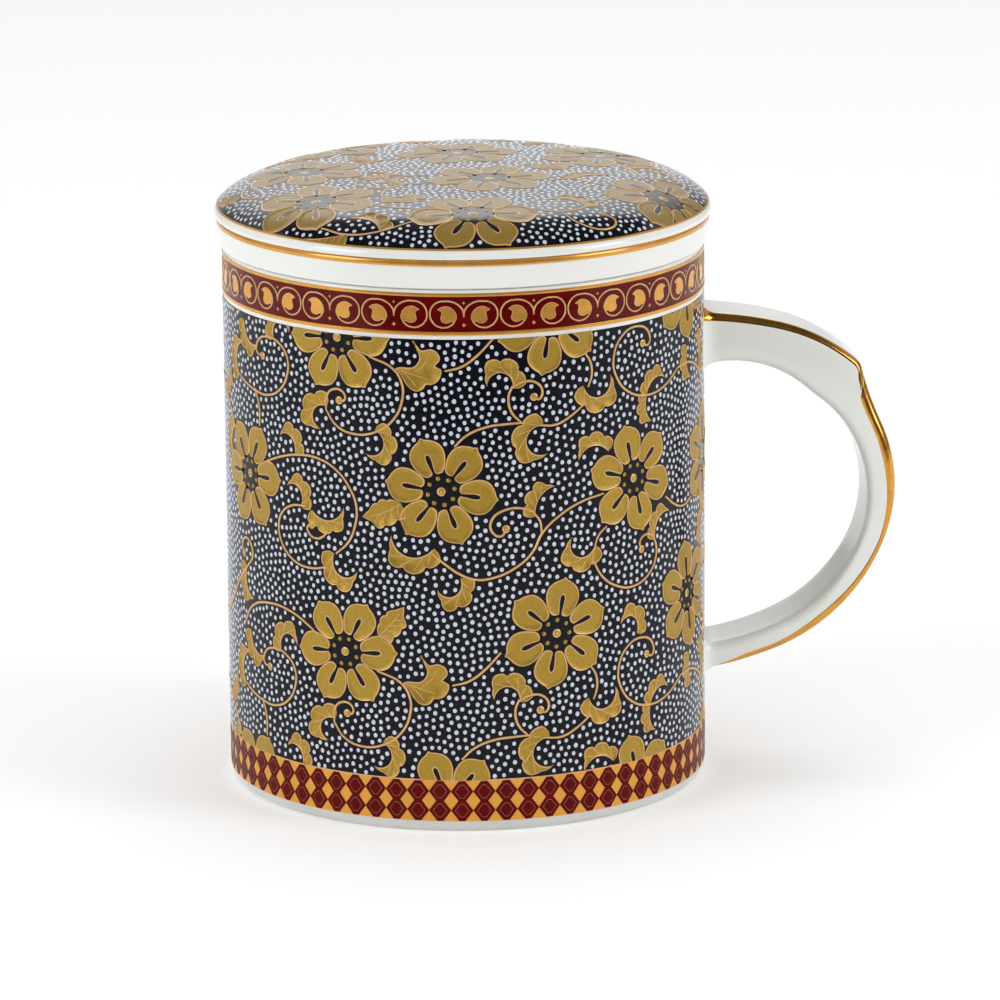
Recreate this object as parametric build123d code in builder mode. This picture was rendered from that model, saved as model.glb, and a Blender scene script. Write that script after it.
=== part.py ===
from build123d import *
from math import atan2, cos, radians, sin, tan
import os

os.makedirs("parts", exist_ok=True)

# Mug body
mug_radius = 41.5
mug_height = 94.2
wall = 3.2
base_thickness = 4.4
inside_corner = 7.0
rim_round = 0.5
foot_recess = 1.6
foot_width = 5.0
foot_inset = 1.1
foot_round_height = 1.9
recess_slope_run = 1.2

# Handle strap, a flat band with rounded corners and a spur where two strands meet
handle_reach = 32.9
handle_low = 17.5
handle_drop = 12.7
handle_width = 13.0
handle_corner = 1.4
root_length = 1.4
root_depth = 1.2
root_flare = 1.0
root_inset = 0.1

# Infuser basket
collar_height = 5.3
collar_overhang = 0.9
collar_low_overhang = 0.4
collar_round = 0.4
collar_low_round = 0.5
lip_round = 0.7
infuser_clearance = 0.9
infuser_wall = 2.6
infuser_floor = 2.8
infuser_depth = 58.0
neck_length = 9.0
basket_taper = 2.4
basket_corner = 5.0
basket_inside_corner = 3.4
strainer_hole = 2.0
floor_ring_pitch = 7.6
floor_ring_counts = [6, 12, 18]
wall_row_count = 3
wall_row_holes = 20
wall_row_pitch = 5.2
wall_row_start = 9.0

# Lid
lid_overhang = 0.7
lid_clearance = 0.8
shoulder_run = 17.4
shoulder_rise = 6.9
shoulder_sink = 0.3
edge_undercut = 0.9
edge_angle = 10.0
crown_angle = 84.0
lid_thickness = 3.2
hollow_rise = 2.7
flange_depth = 6.5
flange_wall = 2.6
flange_round = 1.0

# Fired decoration: printed transfers and gilding
transfer_thickness = 0.15
gilding_thickness = 0.15
lower_border_low = 2.4
lower_border_height = 7.1
border_gap = 0.5
upper_border_height = 6.4
rim_gilding_height = 0.8
collar_gilding_height = 0.9
lid_gilding_low_angle = 17.0
lid_gilding_angle = 23.0
root_margin = 0.6
overrun = 1.0

# Turning points of the strap's outer and inner edges, as shares of its reach and span
outer_shares = [
    (-0.046, 1.0),
    (0.38, 0.97),
    (0.802, 0.857),
    (0.826, 0.837),
    (0.934, 0.68),
    (0.962, 0.37),
    (0.352, 0.053),
    (-0.044, 0.0),
]
inner_shares = [
    (-0.044, 0.85),
    (0.53, 0.785),
    (0.608, 0.752),
    (0.762, 0.664),
    (0.762, 0.3),
    (0.392, 0.131),
    (-0.046, 0.072),
]
outer_start_share = (1.0, -0.03)
inner_start_share = (0.957, 0.289)
upper_root_shares = (0.858, 0.996)
lower_root_shares = (0.008, 0.079)
stripe_start_share = 0.23
stripe_end_share = 0.7

# Sizes that follow from those above
inner_radius = mug_radius - wall
floor_top = foot_recess + base_thickness
foot_outer = mug_radius - foot_inset
foot_inner = foot_outer - foot_width
handle_span = mug_height - handle_drop - handle_low
collar_radius = mug_radius + collar_overhang
collar_low_radius = mug_radius + collar_low_overhang
neck_radius = inner_radius - infuser_clearance
mouth_radius = neck_radius - infuser_wall
basket_base_radius = neck_radius - basket_taper
basket_bottom = mug_height - infuser_depth
basket_floor = basket_bottom + infuser_floor
lid_seat = mug_height + collar_height
lid_radius = collar_radius + lid_overhang
shoulder_centre = lid_radius - shoulder_run
shoulder_base = lid_seat - shoulder_sink
flange_radius = mouth_radius - lid_clearance
flange_inner = flange_radius - flange_wall
lower_border_high = lower_border_low + lower_border_height
rim_gilding_low = mug_height - rim_round - rim_gilding_height
collar_gilding_low = lid_seat - collar_round - collar_gilding_height
upper_border_low = rim_gilding_low - upper_border_height
wrap_low = lower_border_high + border_gap
wrap_high = upper_border_low - border_gap


def strap_point(share):
    """A point of the strap's outline, from its shares of the reach and the span."""
    return (mug_radius + share[0] * handle_reach, handle_low + share[1] * handle_span)


def tangent_chain(points, start):
    """Arcs through the points in turn, each one tangent to the last."""
    edges = [TangentArc(points[0], points[1], tangent=start)]
    for point in points[2:]:
        edges.append(TangentArc(edges[-1] @ 1, point, tangent=edges[-1] % 1))
    return edges


def outline_part(edge, start, end):
    """The stretch of an outline arc between two of its shares, drawn on the current plane."""
    ends = [((edge @ share).X, (edge @ share).Y) for share in (start, end)]
    return TangentArc(*ends, tangent=((edge % start).X, (edge % start).Y))


def root_section(shares, grow):
    """One strap root, its middle height and the size of its rounded section."""
    low = handle_low + shares[0] * handle_span - grow
    high = handle_low + shares[1] * handle_span + grow
    with Locations((0, (low + high) / 2)):
        RectangleRounded(handle_width + 2 * grow, high - low, handle_corner)


def dome_line(extra, low_angle):
    """The lid's upper surface raised by extra: the shoulder from low_angle, then the crown."""
    run = shoulder_run + extra
    rise = shoulder_rise + extra
    shoulder = EllipticalCenterArc(
        (shoulder_centre, shoulder_base), run, rise, low_angle, arc_size=crown_angle - low_angle
    )
    slope = atan2(rise * cos(radians(crown_angle)), run * sin(radians(crown_angle)))
    end = shoulder @ 1
    crown = TangentArc(end, (0, end.Y + end.X * tan(slope / 2)), tangent=shoulder % 1)
    return shoulder, crown


# Mug body: a straight thrown cylinder on a turned standing ring
with BuildPart() as mug_body:
    with BuildSketch(Plane.XZ):
        with BuildLine():
            Polyline(
                (0, foot_recess),
                (foot_inner - recess_slope_run, foot_recess),
                (foot_inner, 0),
                (foot_outer, 0),
            )
            TangentArc((mug_radius, foot_round_height), (foot_outer, 0), tangent=(0, -1))
            Line((mug_radius, foot_round_height), (mug_radius, mug_height - rim_round))
            CenterArc((mug_radius - rim_round, mug_height - rim_round), rim_round, 0, 90)
            Line((mug_radius - rim_round, mug_height), (inner_radius + rim_round, mug_height))
            CenterArc((inner_radius + rim_round, mug_height - rim_round), rim_round, 90, 90)
            Line((inner_radius, mug_height - rim_round), (inner_radius, floor_top + inside_corner))
            CenterArc(
                (inner_radius - inside_corner, floor_top + inside_corner), inside_corner, 270, 90
            )
            Polyline((inner_radius - inside_corner, floor_top), (0, floor_top), (0, foot_recess))
        make_face()
    revolve(axis=Axis.Z)
mug_body.part.label = "mug_body"

# Handle: the strap's side outline drawn in tangent arcs, widened, rounded and luted to the wall
with BuildPart() as mug_handle:
    with BuildSketch(Plane.XZ):
        with BuildLine():
            outer_edges = tangent_chain([strap_point(s) for s in outer_shares], outer_start_share)
            inner_edges = tangent_chain([strap_point(s) for s in inner_shares], inner_start_share)
            Line(outer_edges[0] @ 0, inner_edges[0] @ 0)
            Line(outer_edges[-1] @ 1, inner_edges[-1] @ 1)
        make_face()
    extrude(amount=handle_width / 2, both=True)
    strap_sides = mug_handle.faces().filter_by(Plane.XZ)
    fillet(strap_sides.edges().filter_by(GeomType.CIRCLE), radius=handle_corner)
    for root_shares in (upper_root_shares, lower_root_shares):
        with BuildSketch(Plane.YZ.offset(mug_radius + root_length)) as root_tip:
            root_section(root_shares, -root_inset)
        with BuildSketch(Plane.YZ.offset(mug_radius - root_depth)) as root_end:
            root_section(root_shares, root_flare)
        loft(sections=[root_tip.sketch, root_end.sketch])
    Cylinder(
        mug_radius,
        mug_height,
        align=(Align.CENTER, Align.CENTER, Align.MIN),
        mode=Mode.SUBTRACT,
    )
mug_handle.part.label = "mug_handle"

# Handle gilding: a stripe round each outer corner of the strap
with BuildPart() as handle_gilding:
    with BuildLine(Plane.XZ) as stripe_path:
        outline_part(outer_edges[0], stripe_start_share, 1)
        for edge in outer_edges[1:-1]:
            outline_part(edge, 0, 1)
        outline_part(outer_edges[-1], 0, stripe_end_share)
    stripe_wire = stripe_path.wire()
    stripe_out = Plane.XZ.z_dir.cross(stripe_wire % 0)
    stripe_plane = Plane(stripe_wire @ 0, x_dir=stripe_out, z_dir=stripe_wire % 0)
    with BuildSketch(stripe_plane) as stripe_section:
        with BuildLine():
            stripe_centre = (-handle_corner, handle_width / 2 - handle_corner)
            stripe_inner = CenterArc(stripe_centre, handle_corner, 0, 90)
            stripe_outer = CenterArc(stripe_centre, handle_corner + gilding_thickness, 0, 90)
            Line(stripe_inner @ 0, stripe_outer @ 0)
            Line(stripe_inner @ 1, stripe_outer @ 1)
        make_face()
    sweep(sections=stripe_section.sketch, path=stripe_wire)
    mirror(about=Plane.XZ)
handle_gilding.part.label = "handle_gilding"

# Transfers on the mug wall, each a thin printed sleeve
with BuildPart() as lower_border:
    with BuildSketch(Plane.XY.offset(lower_border_low)):
        Circle(mug_radius + transfer_thickness)
        Circle(mug_radius, mode=Mode.SUBTRACT)
    extrude(amount=lower_border_height)
lower_border.part.label = "lower_border_decal"

with BuildPart() as pattern_wrap:
    with BuildSketch(Plane.XY.offset(wrap_low)):
        Circle(mug_radius + transfer_thickness)
        Circle(mug_radius, mode=Mode.SUBTRACT)
    extrude(amount=wrap_high - wrap_low)
    for root_shares in (upper_root_shares, lower_root_shares):
        with BuildSketch(Plane.YZ.offset(mug_radius - wall)):
            root_section(root_shares, root_flare + root_margin)
        extrude(amount=wall + transfer_thickness + overrun, mode=Mode.SUBTRACT)
pattern_wrap.part.label = "pattern_wrap_decal"

with BuildPart() as upper_border:
    with BuildSketch(Plane.XY.offset(upper_border_low)):
        Circle(mug_radius + transfer_thickness)
        Circle(mug_radius, mode=Mode.SUBTRACT)
    extrude(amount=upper_border_height)
upper_border.part.label = "upper_border_decal"

# Gilding round the mug's rim, a thin sleeve just under its rounded lip
with BuildPart() as mug_rim_gilding:
    with BuildSketch(Plane.XY.offset(rim_gilding_low)):
        Circle(mug_radius + gilding_thickness)
        Circle(mug_radius, mode=Mode.SUBTRACT)
    extrude(amount=rim_gilding_height)
mug_rim_gilding.part.label = "mug_rim_gilding"

# Infuser basket: a collar that sits on the mug's rim and a tapered, perforated cup below it
with BuildPart() as infuser_basket:
    with BuildSketch(Plane.XZ) as basket_profile:
        with BuildLine():
            collar_shoulder = lid_seat - collar_round
            CenterArc((collar_radius - collar_round, collar_shoulder), collar_round, 0, 90)
            Line((collar_radius, collar_shoulder), (collar_radius, collar_gilding_low))
            TangentArc((collar_radius, collar_gilding_low), (collar_low_radius, mug_height), tangent=(0, -1))
            Polyline(
                (collar_low_radius, mug_height),
                (neck_radius, mug_height),
                (neck_radius, mug_height - neck_length),
                (basket_base_radius, basket_bottom),
                (0, basket_bottom),
                (0, basket_floor),
                (basket_base_radius - infuser_wall, basket_floor),
                (mouth_radius, mug_height - neck_length),
                (mouth_radius, lid_seat),
                (collar_radius - collar_round, lid_seat),
            )
        make_face()
        corners = basket_profile.vertices()
        fillet(corners.sort_by_distance((mouth_radius, lid_seat))[0], radius=lip_round)
        fillet(corners.sort_by_distance((collar_low_radius, mug_height))[0], radius=collar_low_round)
        fillet(corners.sort_by_distance((basket_base_radius, basket_bottom))[0], radius=basket_corner)
        fillet(
            corners.sort_by_distance((basket_base_radius - infuser_wall, basket_floor))[0],
            radius=basket_inside_corner,
        )
    revolve(axis=Axis.Z)
    with Locations((0, 0, basket_floor)):
        Hole(strainer_hole / 2, depth=infuser_floor + overrun)
    for ring, count in enumerate(floor_ring_counts, start=1):
        with Locations((0, 0, basket_floor)):
            with PolarLocations(ring * floor_ring_pitch, count):
                Hole(strainer_hole / 2, depth=infuser_floor + overrun)
    for row in range(wall_row_count):
        row_height = basket_bottom + wall_row_start + row * wall_row_pitch
        row_turn = (row % 2) * 180 / wall_row_holes
        with Locations((0, 0, row_height)):
            with PolarLocations(0, wall_row_holes, start_angle=row_turn):
                with Locations(Location((neck_radius + overrun, 0, 0), (0, 90, 0))):
                    Hole(strainer_hole / 2, depth=basket_taper + infuser_wall + 2 * overrun)
infuser_basket.part.label = "infuser_basket"

with BuildPart() as infuser_rim_gilding:
    with BuildSketch(Plane.XY.offset(collar_gilding_low)):
        Circle(collar_radius + gilding_thickness)
        Circle(collar_radius, mode=Mode.SUBTRACT)
    extrude(amount=collar_gilding_height)
infuser_rim_gilding.part.label = "infuser_rim_gilding"

# Lid: a knobless dome whose flange drops inside the infuser's mouth
with BuildPart() as lid_disc:
    with BuildSketch(Plane.XZ) as lid_profile:
        with BuildLine():
            shoulder_edge, crown_edge = dome_line(0, edge_angle)
            lid_rim = (lid_radius - edge_undercut, lid_seat)
            TangentArc(shoulder_edge @ 0, lid_rim, tangent=(shoulder_edge % 0) * -1)
            hollow_top = (0, (crown_edge @ 1).Y - lid_thickness)
            Polyline(
                lid_rim,
                (flange_radius, lid_seat),
                (flange_radius, lid_seat - flange_depth),
                (flange_inner, lid_seat - flange_depth),
                (flange_inner, lid_seat + hollow_rise),
            )
            TangentArc(hollow_top, (flange_inner, lid_seat + hollow_rise), tangent=(1, 0))
            Line(hollow_top, crown_edge @ 1)
        make_face()
        fillet(lid_profile.vertices().group_by(Axis.Y)[0], radius=flange_round)
    revolve(axis=Axis.Z)
lid_disc.part.label = "lid_disc"

with BuildPart() as lid_decal:
    with BuildSketch(Plane.XZ):
        with BuildLine():
            under_shoulder, under_crown = dome_line(0, lid_gilding_angle)
            over_shoulder, over_crown = dome_line(transfer_thickness, lid_gilding_angle)
            Line(under_shoulder @ 0, over_shoulder @ 0)
            Line(under_crown @ 1, over_crown @ 1)
        make_face()
    revolve(axis=Axis.Z)
lid_decal.part.label = "lid_decal"

with BuildPart() as lid_edge_gilding:
    with BuildSketch(Plane.XZ):
        with BuildLine():
            line_centre = (shoulder_centre, shoulder_base)
            line_inner = EllipticalCenterArc(
                line_centre,
                shoulder_run,
                shoulder_rise,
                lid_gilding_low_angle,
                arc_size=lid_gilding_angle - lid_gilding_low_angle,
            )
            line_outer = EllipticalCenterArc(
                line_centre,
                shoulder_run + gilding_thickness,
                shoulder_rise + gilding_thickness,
                lid_gilding_low_angle,
                arc_size=lid_gilding_angle - lid_gilding_low_angle,
            )
            Line(line_inner @ 0, line_outer @ 0)
            Line(line_inner @ 1, line_outer @ 1)
        make_face()
    revolve(axis=Axis.Z)
lid_edge_gilding.part.label = "lid_edge_gilding"

export_step(mug_body.part, "parts/mug_body.step")
export_step(mug_handle.part, "parts/mug_handle.step")
export_step(handle_gilding.part, "parts/handle_gilding.step")
export_step(lower_border.part, "parts/lower_border_decal.step")
export_step(pattern_wrap.part, "parts/pattern_wrap_decal.step")
export_step(upper_border.part, "parts/upper_border_decal.step")
export_step(mug_rim_gilding.part, "parts/mug_rim_gilding.step")
export_step(infuser_basket.part, "parts/infuser_basket.step")
export_step(infuser_rim_gilding.part, "parts/infuser_rim_gilding.step")
export_step(lid_disc.part, "parts/lid_disc.step")
export_step(lid_decal.part, "parts/lid_decal.step")
export_step(lid_edge_gilding.part, "parts/lid_edge_gilding.step")
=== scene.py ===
import math

import bmesh
import bpy
import numpy as np
from bpy.props import (
    FloatProperty,
    FloatVectorProperty,
    IntProperty,
    PointerProperty,
)
from mathutils import Matrix, Vector
from mathutils.kdtree import KDTree


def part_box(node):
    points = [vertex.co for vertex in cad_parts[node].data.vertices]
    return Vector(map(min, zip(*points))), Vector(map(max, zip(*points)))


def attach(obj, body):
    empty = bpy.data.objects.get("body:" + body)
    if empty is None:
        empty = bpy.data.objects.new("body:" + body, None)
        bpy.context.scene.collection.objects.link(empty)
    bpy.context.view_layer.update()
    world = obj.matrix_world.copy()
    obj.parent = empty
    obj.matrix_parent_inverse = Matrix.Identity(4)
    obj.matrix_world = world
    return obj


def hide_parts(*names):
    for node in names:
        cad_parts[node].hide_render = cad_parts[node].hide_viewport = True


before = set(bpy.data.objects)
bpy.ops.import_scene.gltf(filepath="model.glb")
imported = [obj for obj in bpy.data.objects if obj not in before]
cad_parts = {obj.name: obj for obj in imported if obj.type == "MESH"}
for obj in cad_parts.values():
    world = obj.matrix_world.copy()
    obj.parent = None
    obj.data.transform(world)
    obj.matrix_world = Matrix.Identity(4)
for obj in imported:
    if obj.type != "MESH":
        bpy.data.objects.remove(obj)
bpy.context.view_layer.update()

bl_info = {
    "name": "Porcelain infuser mug",
    "version": (1, 0, 0),
    "blender": (4, 5, 0),
    "location": "View3D > Sidebar > Mug",
    "description": "Models a straight porcelain mug with a drop-in infuser, a domed lid, "
    "a dotted vine print and gilded edges",
    "category": "Object",
}

MM = 0.001


def tint(red, green, blue):
    """A colour picked on a screen, as the linear values a material takes."""

    def linear(value):
        share = value / 255
        return share / 12.92 if share <= 0.04045 else ((share + 0.055) / 1.055) ** 2.4

    return (linear(red), linear(green), linear(blue), 1.0)


def length(label, text, millimetres):
    return FloatProperty(
        name=label, description=text, default=millimetres * MM, min=0.0, unit="LENGTH", precision=5
    )


def colour(label, text, value):
    return FloatVectorProperty(
        name=label, description=text, default=value, size=4, min=0.0, max=1.0, subtype="COLOR"
    )


def node_top(node):
    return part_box(node)[1].z / MM


def node_low(node):
    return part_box(node)[0].z / MM


class MugSizes(bpy.types.PropertyGroup):
    """Sizes of the mug, its infuser and its lid."""

    radius: length(
        "Radius", "Outer radius of the mug's straight wall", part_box("mug_body")[1].y / MM
    )
    height: length("Height", "Height of the mug's rim above the table", node_top("mug_body"))
    wall: length("Wall", "Thickness of the mug's wall", 3.2)
    rim_round: length("Rim rounding", "Rounding of the mug's rim", 0.5)
    floor_top: length("Floor", "Height of the floor inside", 6.0)
    inside_corner: length("Inside corner", "Rounding between floor and wall inside", 7.0)
    foot_recess: length("Foot recess", "Depth of the hollow inside the standing ring", 1.6)
    foot_outer: length("Foot radius", "Outer radius of the standing ring", 40.4)
    foot_width: length("Foot width", "Width of the standing ring", 5.0)
    foot_round: length("Foot rounding", "Height of the rounding above the standing ring", 1.9)
    collar_radius: length("Collar radius", "Radius of the infuser's collar", 42.4)
    collar_low: length("Collar foot radius", "Radius of the collar where it sits on the rim", 41.9)
    collar_top: length("Collar top", "Height of the infuser's collar", node_top("infuser_basket"))
    neck: length("Neck radius", "Outer radius of the infuser's neck", 37.4)
    neck_length: length("Neck length", "Length of the straight neck below the rim", 9.0)
    basket_wall: length("Infuser wall", "Thickness of the infuser's wall", 2.6)
    basket_taper: length("Infuser taper", "Narrowing of the infuser towards its floor", 2.4)
    basket_low: length(
        "Infuser bottom", "Height of the infuser's underside", node_low("infuser_basket")
    )
    basket_floor: length("Infuser floor", "Thickness of the infuser's floor", 2.8)
    hole: length("Strainer hole", "Width of one strainer hole", 2.0)
    ring_pitch: length("Hole ring pitch", "Distance between rings of floor holes", 7.6)
    row_pitch: length("Hole row pitch", "Distance between rows of wall holes", 5.2)
    row_start: length("First hole row", "Height of the first row above the bottom", 9.0)
    row_holes: IntProperty(
        name="Holes in a row", description="Wall holes in one row", default=20, min=3
    )
    lid_radius: length("Lid radius", "Outer radius of the lid before its edge is turned", 43.1)
    shoulder_run: length("Shoulder run", "Inward run of the lid's shoulder", 17.4)
    shoulder_rise: length("Shoulder rise", "Rise of the lid's shoulder", 6.9)
    flange_radius: length("Flange radius", "Outer radius of the lid's flange", 34.0)
    flange_wall: length("Flange wall", "Thickness of the lid's flange", 2.6)
    flange_low: length("Flange bottom", "Height of the flange's lower edge", node_low("lid_disc"))
    lid_thickness: length("Lid thickness", "Thickness of the lid at its middle", 3.2)


class HandleSizes(bpy.types.PropertyGroup):
    """Sizes of the strap handle."""

    reach: length("Reach", "Reach of the strap outline from the wall", 32.9)
    low: length("Low", "Height of the strap's lower root", 17.5)
    span: length("Span", "Height from the lower to the upper root", 64.0)
    width: length("Width", "Width of the strap", 13.0)
    corner: length("Corner", "Rounding of the strap's corners", 1.4)
    flare: length("Flare", "How far the roots widen where they meet the wall", 0.9)
    flare_run: length("Flare run", "Distance from the wall over which the roots widen", 2.2)


class PrintSizes(bpy.types.PropertyGroup):
    """Sizes of the printed and gilded decoration."""

    ground: length("Ground", "Height of the printed ground above the glaze", 0.03)
    relief: length("Relief", "Height of the raised gold outlines", 0.13)
    line: length("Outline", "Width of the raised gold outlines", 0.2)
    vine: length("Vine", "Half the width of a vine", 0.21)
    dot: length("Dot", "Radius of one enamel dot", 0.42)
    dot_gap: length("Dot spacing", "Least distance between two dots", 1.04)
    dot_clear: length("Dot clearance", "Distance from a dot's middle to the nearest motif", 0.68)
    repeat: length("Repeat", "Height of the pattern's repeat", 54.5)
    lean: length("Lean", "Sideways step of each repeat down the wall", 0.75)
    seed: IntProperty(name="Seed", description="Seed of the scattered dots", default=7)


class Finishes(bpy.types.PropertyGroup):
    """Colours of the glazes, enamels and gilding."""

    porcelain: colour("Porcelain", "White glazed body", tint(236, 237, 232))
    ground: colour("Print ground", "Near-black ground of the vine print", tint(17, 18, 26))
    dot: colour("Enamel dots", "Pale dots on the ground", tint(208, 213, 226))
    petal: colour("Petal gold", "Matt gold of petals and leaves", tint(177, 142, 51))
    outline: colour("Outline gold", "Raised outlines and vines", tint(226, 178, 118))
    red: colour("Border red", "Ground of the upper border", tint(98, 8, 10))
    lozenge: colour("Lozenge red", "Lozenges of the lower border", tint(98, 9, 9))
    amber: colour("Amber", "Ground of the lower border", tint(226, 158, 64))
    gold: colour("Gilding", "Bright fired gold on the edges", tint(224, 162, 72))


def sizes():
    return bpy.context.scene.mug_sizes


def prints():
    return bpy.context.scene.mug_prints


def finishes():
    return bpy.context.scene.mug_finishes


def mm(value):
    return value / MM


def polar(far, turn):
    """The point at a distance and an angle from the middle."""
    return far * math.cos(turn), far * math.sin(turn)


# Materials


COAT_ROUGHNESS = 0.05
CLOUD_EDGES = (0.32, 0.68)
CLOUD_DETAIL = 6.0
FINE_DETAIL = 3.0
BUMP_STRENGTH = 0.6

# Each finish: its colour, the clouds' darker share and grain, its least and greatest roughness,
# and what else sets it apart; bumps are in millimetres
GLAZES = {
    "porcelain_glaze": dict(
        tone="porcelain", dark=0.965, grain=60, rough=(0.05, 0.12), bump=0.012, bump_grain=240
    ),
    # The foot: porcelain darkened to 0.74 as painted shade where the wall turns under to the table
    "bare_foot": dict(
        tone="porcelain", share=0.74, dark=0.92, grain=120, rough=(0.1, 0.2),
        bump=0.004, bump_grain=600,
    ),
    "fired_gold": dict(
        tone="gold", dark=0.85, grain=420, rough=(0.14, 0.3), metal=0.5, bump=0.01, bump_grain=1600
    ),
    "handle_gold": dict(
        tone="gold", share=0.94, dark=0.8, grain=420, rough=(0.1, 0.22), metal=0.92,
        bump=0.01, bump_grain=1600,
    ),
    "print_ground": dict(
        tone="ground", dark=0.6, grain=700, rough=(0.14, 0.24), level=0.15, bump=0.004
    ),
    "lid_print_ground": dict(tone="ground", dark=0.6, grain=700, rough=(0.05, 0.12), bump=0.006),
    "enamel_dot": dict(tone="dot", dark=0.86, grain=1500, rough=(0.12, 0.26), level=0.3),
    "petal_gold": dict(
        tone="petal", dark=0.8, grain=2600, rough=(0.3, 0.5), metal=0.38, level=0.3,
        bump=0.03, bump_grain=5200,
    ),
    "outline_gold": dict(
        tone="outline", dark=0.82, grain=900, rough=(0.26, 0.42), metal=0.25, level=0.4, bump=0.01
    ),
    "border_red": dict(
        tone="red", dark=0.72, grain=500, rough=(0.08, 0.16), level=0.15, bump=0.004
    ),
    "lozenge_red": dict(
        tone="lozenge", dark=0.8, grain=1400, rough=(0.2, 0.34), level=0.06,
        bump=0.006, bump_grain=3000,
    ),
    "lozenge_line": dict(
        tone="outline", share=0.42, dark=0.82, grain=900, rough=(0.26, 0.42), level=0.2, bump=0.01
    ),
    "amber_gold": dict(tone="amber", dark=0.92, grain=60, rough=(0.26, 0.32), metal=0.3, level=0.3),
}


def fired(name):
    """The named finish, made when it is first asked for."""
    return bpy.data.materials.get(name) or glazed(name, **GLAZES[name])


def glazed(
    name, tone, dark, grain, rough, share=1.0, metal=0.0, level=0.5, bump=0.0, bump_grain=900.0
):
    """A fired surface: two close tints clouded together, uneven gloss and a faint relief."""
    base = shade(getattr(finishes(), tone), share)
    made = bpy.data.materials.new(name)
    made.use_nodes = True
    nodes, links = made.node_tree.nodes, made.node_tree.links
    shader = nodes["Principled BSDF"]
    shader.inputs["Metallic"].default_value = metal
    shader.inputs["Specular IOR Level"].default_value = level
    shader.inputs["Coat Roughness"].default_value = COAT_ROUGHNESS
    place = nodes.new("ShaderNodeTexCoord")

    def noise(scale, detail):
        made = nodes.new("ShaderNodeTexNoise")
        made.inputs["Scale"].default_value = scale
        made.inputs["Detail"].default_value = detail
        links.new(place.outputs["Object"], made.inputs["Vector"])
        return made.outputs["Fac"]

    ramp = nodes.new("ShaderNodeValToRGB")
    for step, edge, tint_there in zip(
        ramp.color_ramp.elements, CLOUD_EDGES, (shade(base, dark), base)
    ):
        step.position, step.color = edge, tint_there
    links.new(noise(grain, CLOUD_DETAIL), ramp.inputs["Fac"])
    links.new(ramp.outputs["Color"], shader.inputs["Base Color"])
    fine = noise(bump_grain, FINE_DETAIL)
    gloss = nodes.new("ShaderNodeMapRange")
    gloss.inputs["To Min"].default_value, gloss.inputs["To Max"].default_value = rough
    links.new(fine, gloss.inputs["Value"])
    links.new(gloss.outputs["Result"], shader.inputs["Roughness"])
    if bump:
        relief = nodes.new("ShaderNodeBump")
        relief.inputs["Strength"].default_value = BUMP_STRENGTH
        relief.inputs["Distance"].default_value = bump * MM
        links.new(fine, relief.inputs["Height"])
        links.new(relief.outputs["Normal"], shader.inputs["Normal"])
    return made


def shade(value, share):
    """A colour darkened or lightened by a share."""
    return tuple(min(1.0, part * share) for part in value[:3]) + (1.0,)


# Under the lid's clear glaze: depth of the colour (a darkening of the gold that is painted shade),
# metal and weight of the coat
LID_GLAZE_AND_SHADE = {"petal_gold": (0.66, 0.1, 0.4), "outline_gold": (0.9, 0.2, 0.5)}
UNDER_FULL_GLAZE = (1.0, 0.0, 1.0)


def coated(material):
    """The same finish under the lid's clear glaze, its gold darkened by painted shade and made
    duller.
    """
    name = "lid_" + material.name
    made = bpy.data.materials.get(name)
    if not made:
        made = material.copy()
        made.name = name
        depth, metal, coat = LID_GLAZE_AND_SHADE.get(material.name, UNDER_FULL_GLAZE)
        # Darken the colour: painted shade on the lid's gold, which faces up into the light
        for step in made.node_tree.nodes["Color Ramp"].color_ramp.elements:
            step.color = shade(step.color, depth)
        shader = made.node_tree.nodes["Principled BSDF"]
        shader.inputs["Metallic"].default_value = metal
        shader.inputs["Coat Weight"].default_value = coat
    return made


# Modelling steps that every piece shares


def fresh():
    """Leave edit mode and let go of everything that is selected."""
    if bpy.context.object and bpy.context.object.mode != "OBJECT":
        bpy.ops.object.mode_set(mode="OBJECT")
    bpy.ops.object.select_all(action="DESELECT")


def take(piece):
    fresh()
    piece.select_set(True)
    bpy.context.view_layer.objects.active = piece


def edit(piece):
    take(piece)
    bpy.ops.object.mode_set(mode="EDIT")
    bpy.ops.mesh.select_all(action="SELECT")


def done():
    bpy.ops.object.mode_set(mode="OBJECT")


def named(piece, name):
    piece.name = name
    piece.data.name = name
    return piece


def points_of(piece):
    flat = np.empty(len(piece.data.vertices) * 3)
    piece.data.vertices.foreach_get("co", flat)
    return flat.reshape(-1, 3)


def set_points(piece, points):
    piece.data.vertices.foreach_set("co", np.asarray(points, float).ravel())
    piece.data.update()


def outlined(name, points, fill="NGON"):
    """A circle primitive whose corners are moved to the given points."""
    fresh()
    spots = [tuple(p) + (0.0,) * (3 - len(p)) for p in points]
    around = sum(a[0] * b[1] - b[0] * a[1] for a, b in zip(spots, spots[1:] + spots[:1]))
    if around < 0:
        spots.reverse()
    bpy.ops.mesh.primitive_circle_add(vertices=len(spots), radius=1.0, fill_type=fill)
    piece = named(bpy.context.object, name)
    set_points(piece, spots)
    return piece


def smooth(piece, angle=30):
    take(piece)
    bpy.ops.object.shade_smooth_by_angle(angle=math.radians(angle))


DOUBLES = 0.0004


def tidy(piece, apart=DOUBLES):
    """Merge doubled points and turn the faces outwards."""
    edit(piece)
    bpy.ops.mesh.remove_doubles(threshold=apart)
    bpy.ops.mesh.select_all(action="SELECT")
    bpy.ops.mesh.normals_make_consistent(inside=False)
    done()


def turned(name, profile, steps=192):
    """A closed (radius, height) profile spun round the mug's axis."""
    piece = outlined(name, [(r, 0.0, z) for r, z in profile], fill="NOTHING")
    edit(piece)
    bpy.ops.mesh.spin(steps=steps, angle=2 * math.pi, center=(0, 0, 0), axis=(0, 0, 1))
    done()
    tidy(piece)
    smooth(piece)
    return piece


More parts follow.
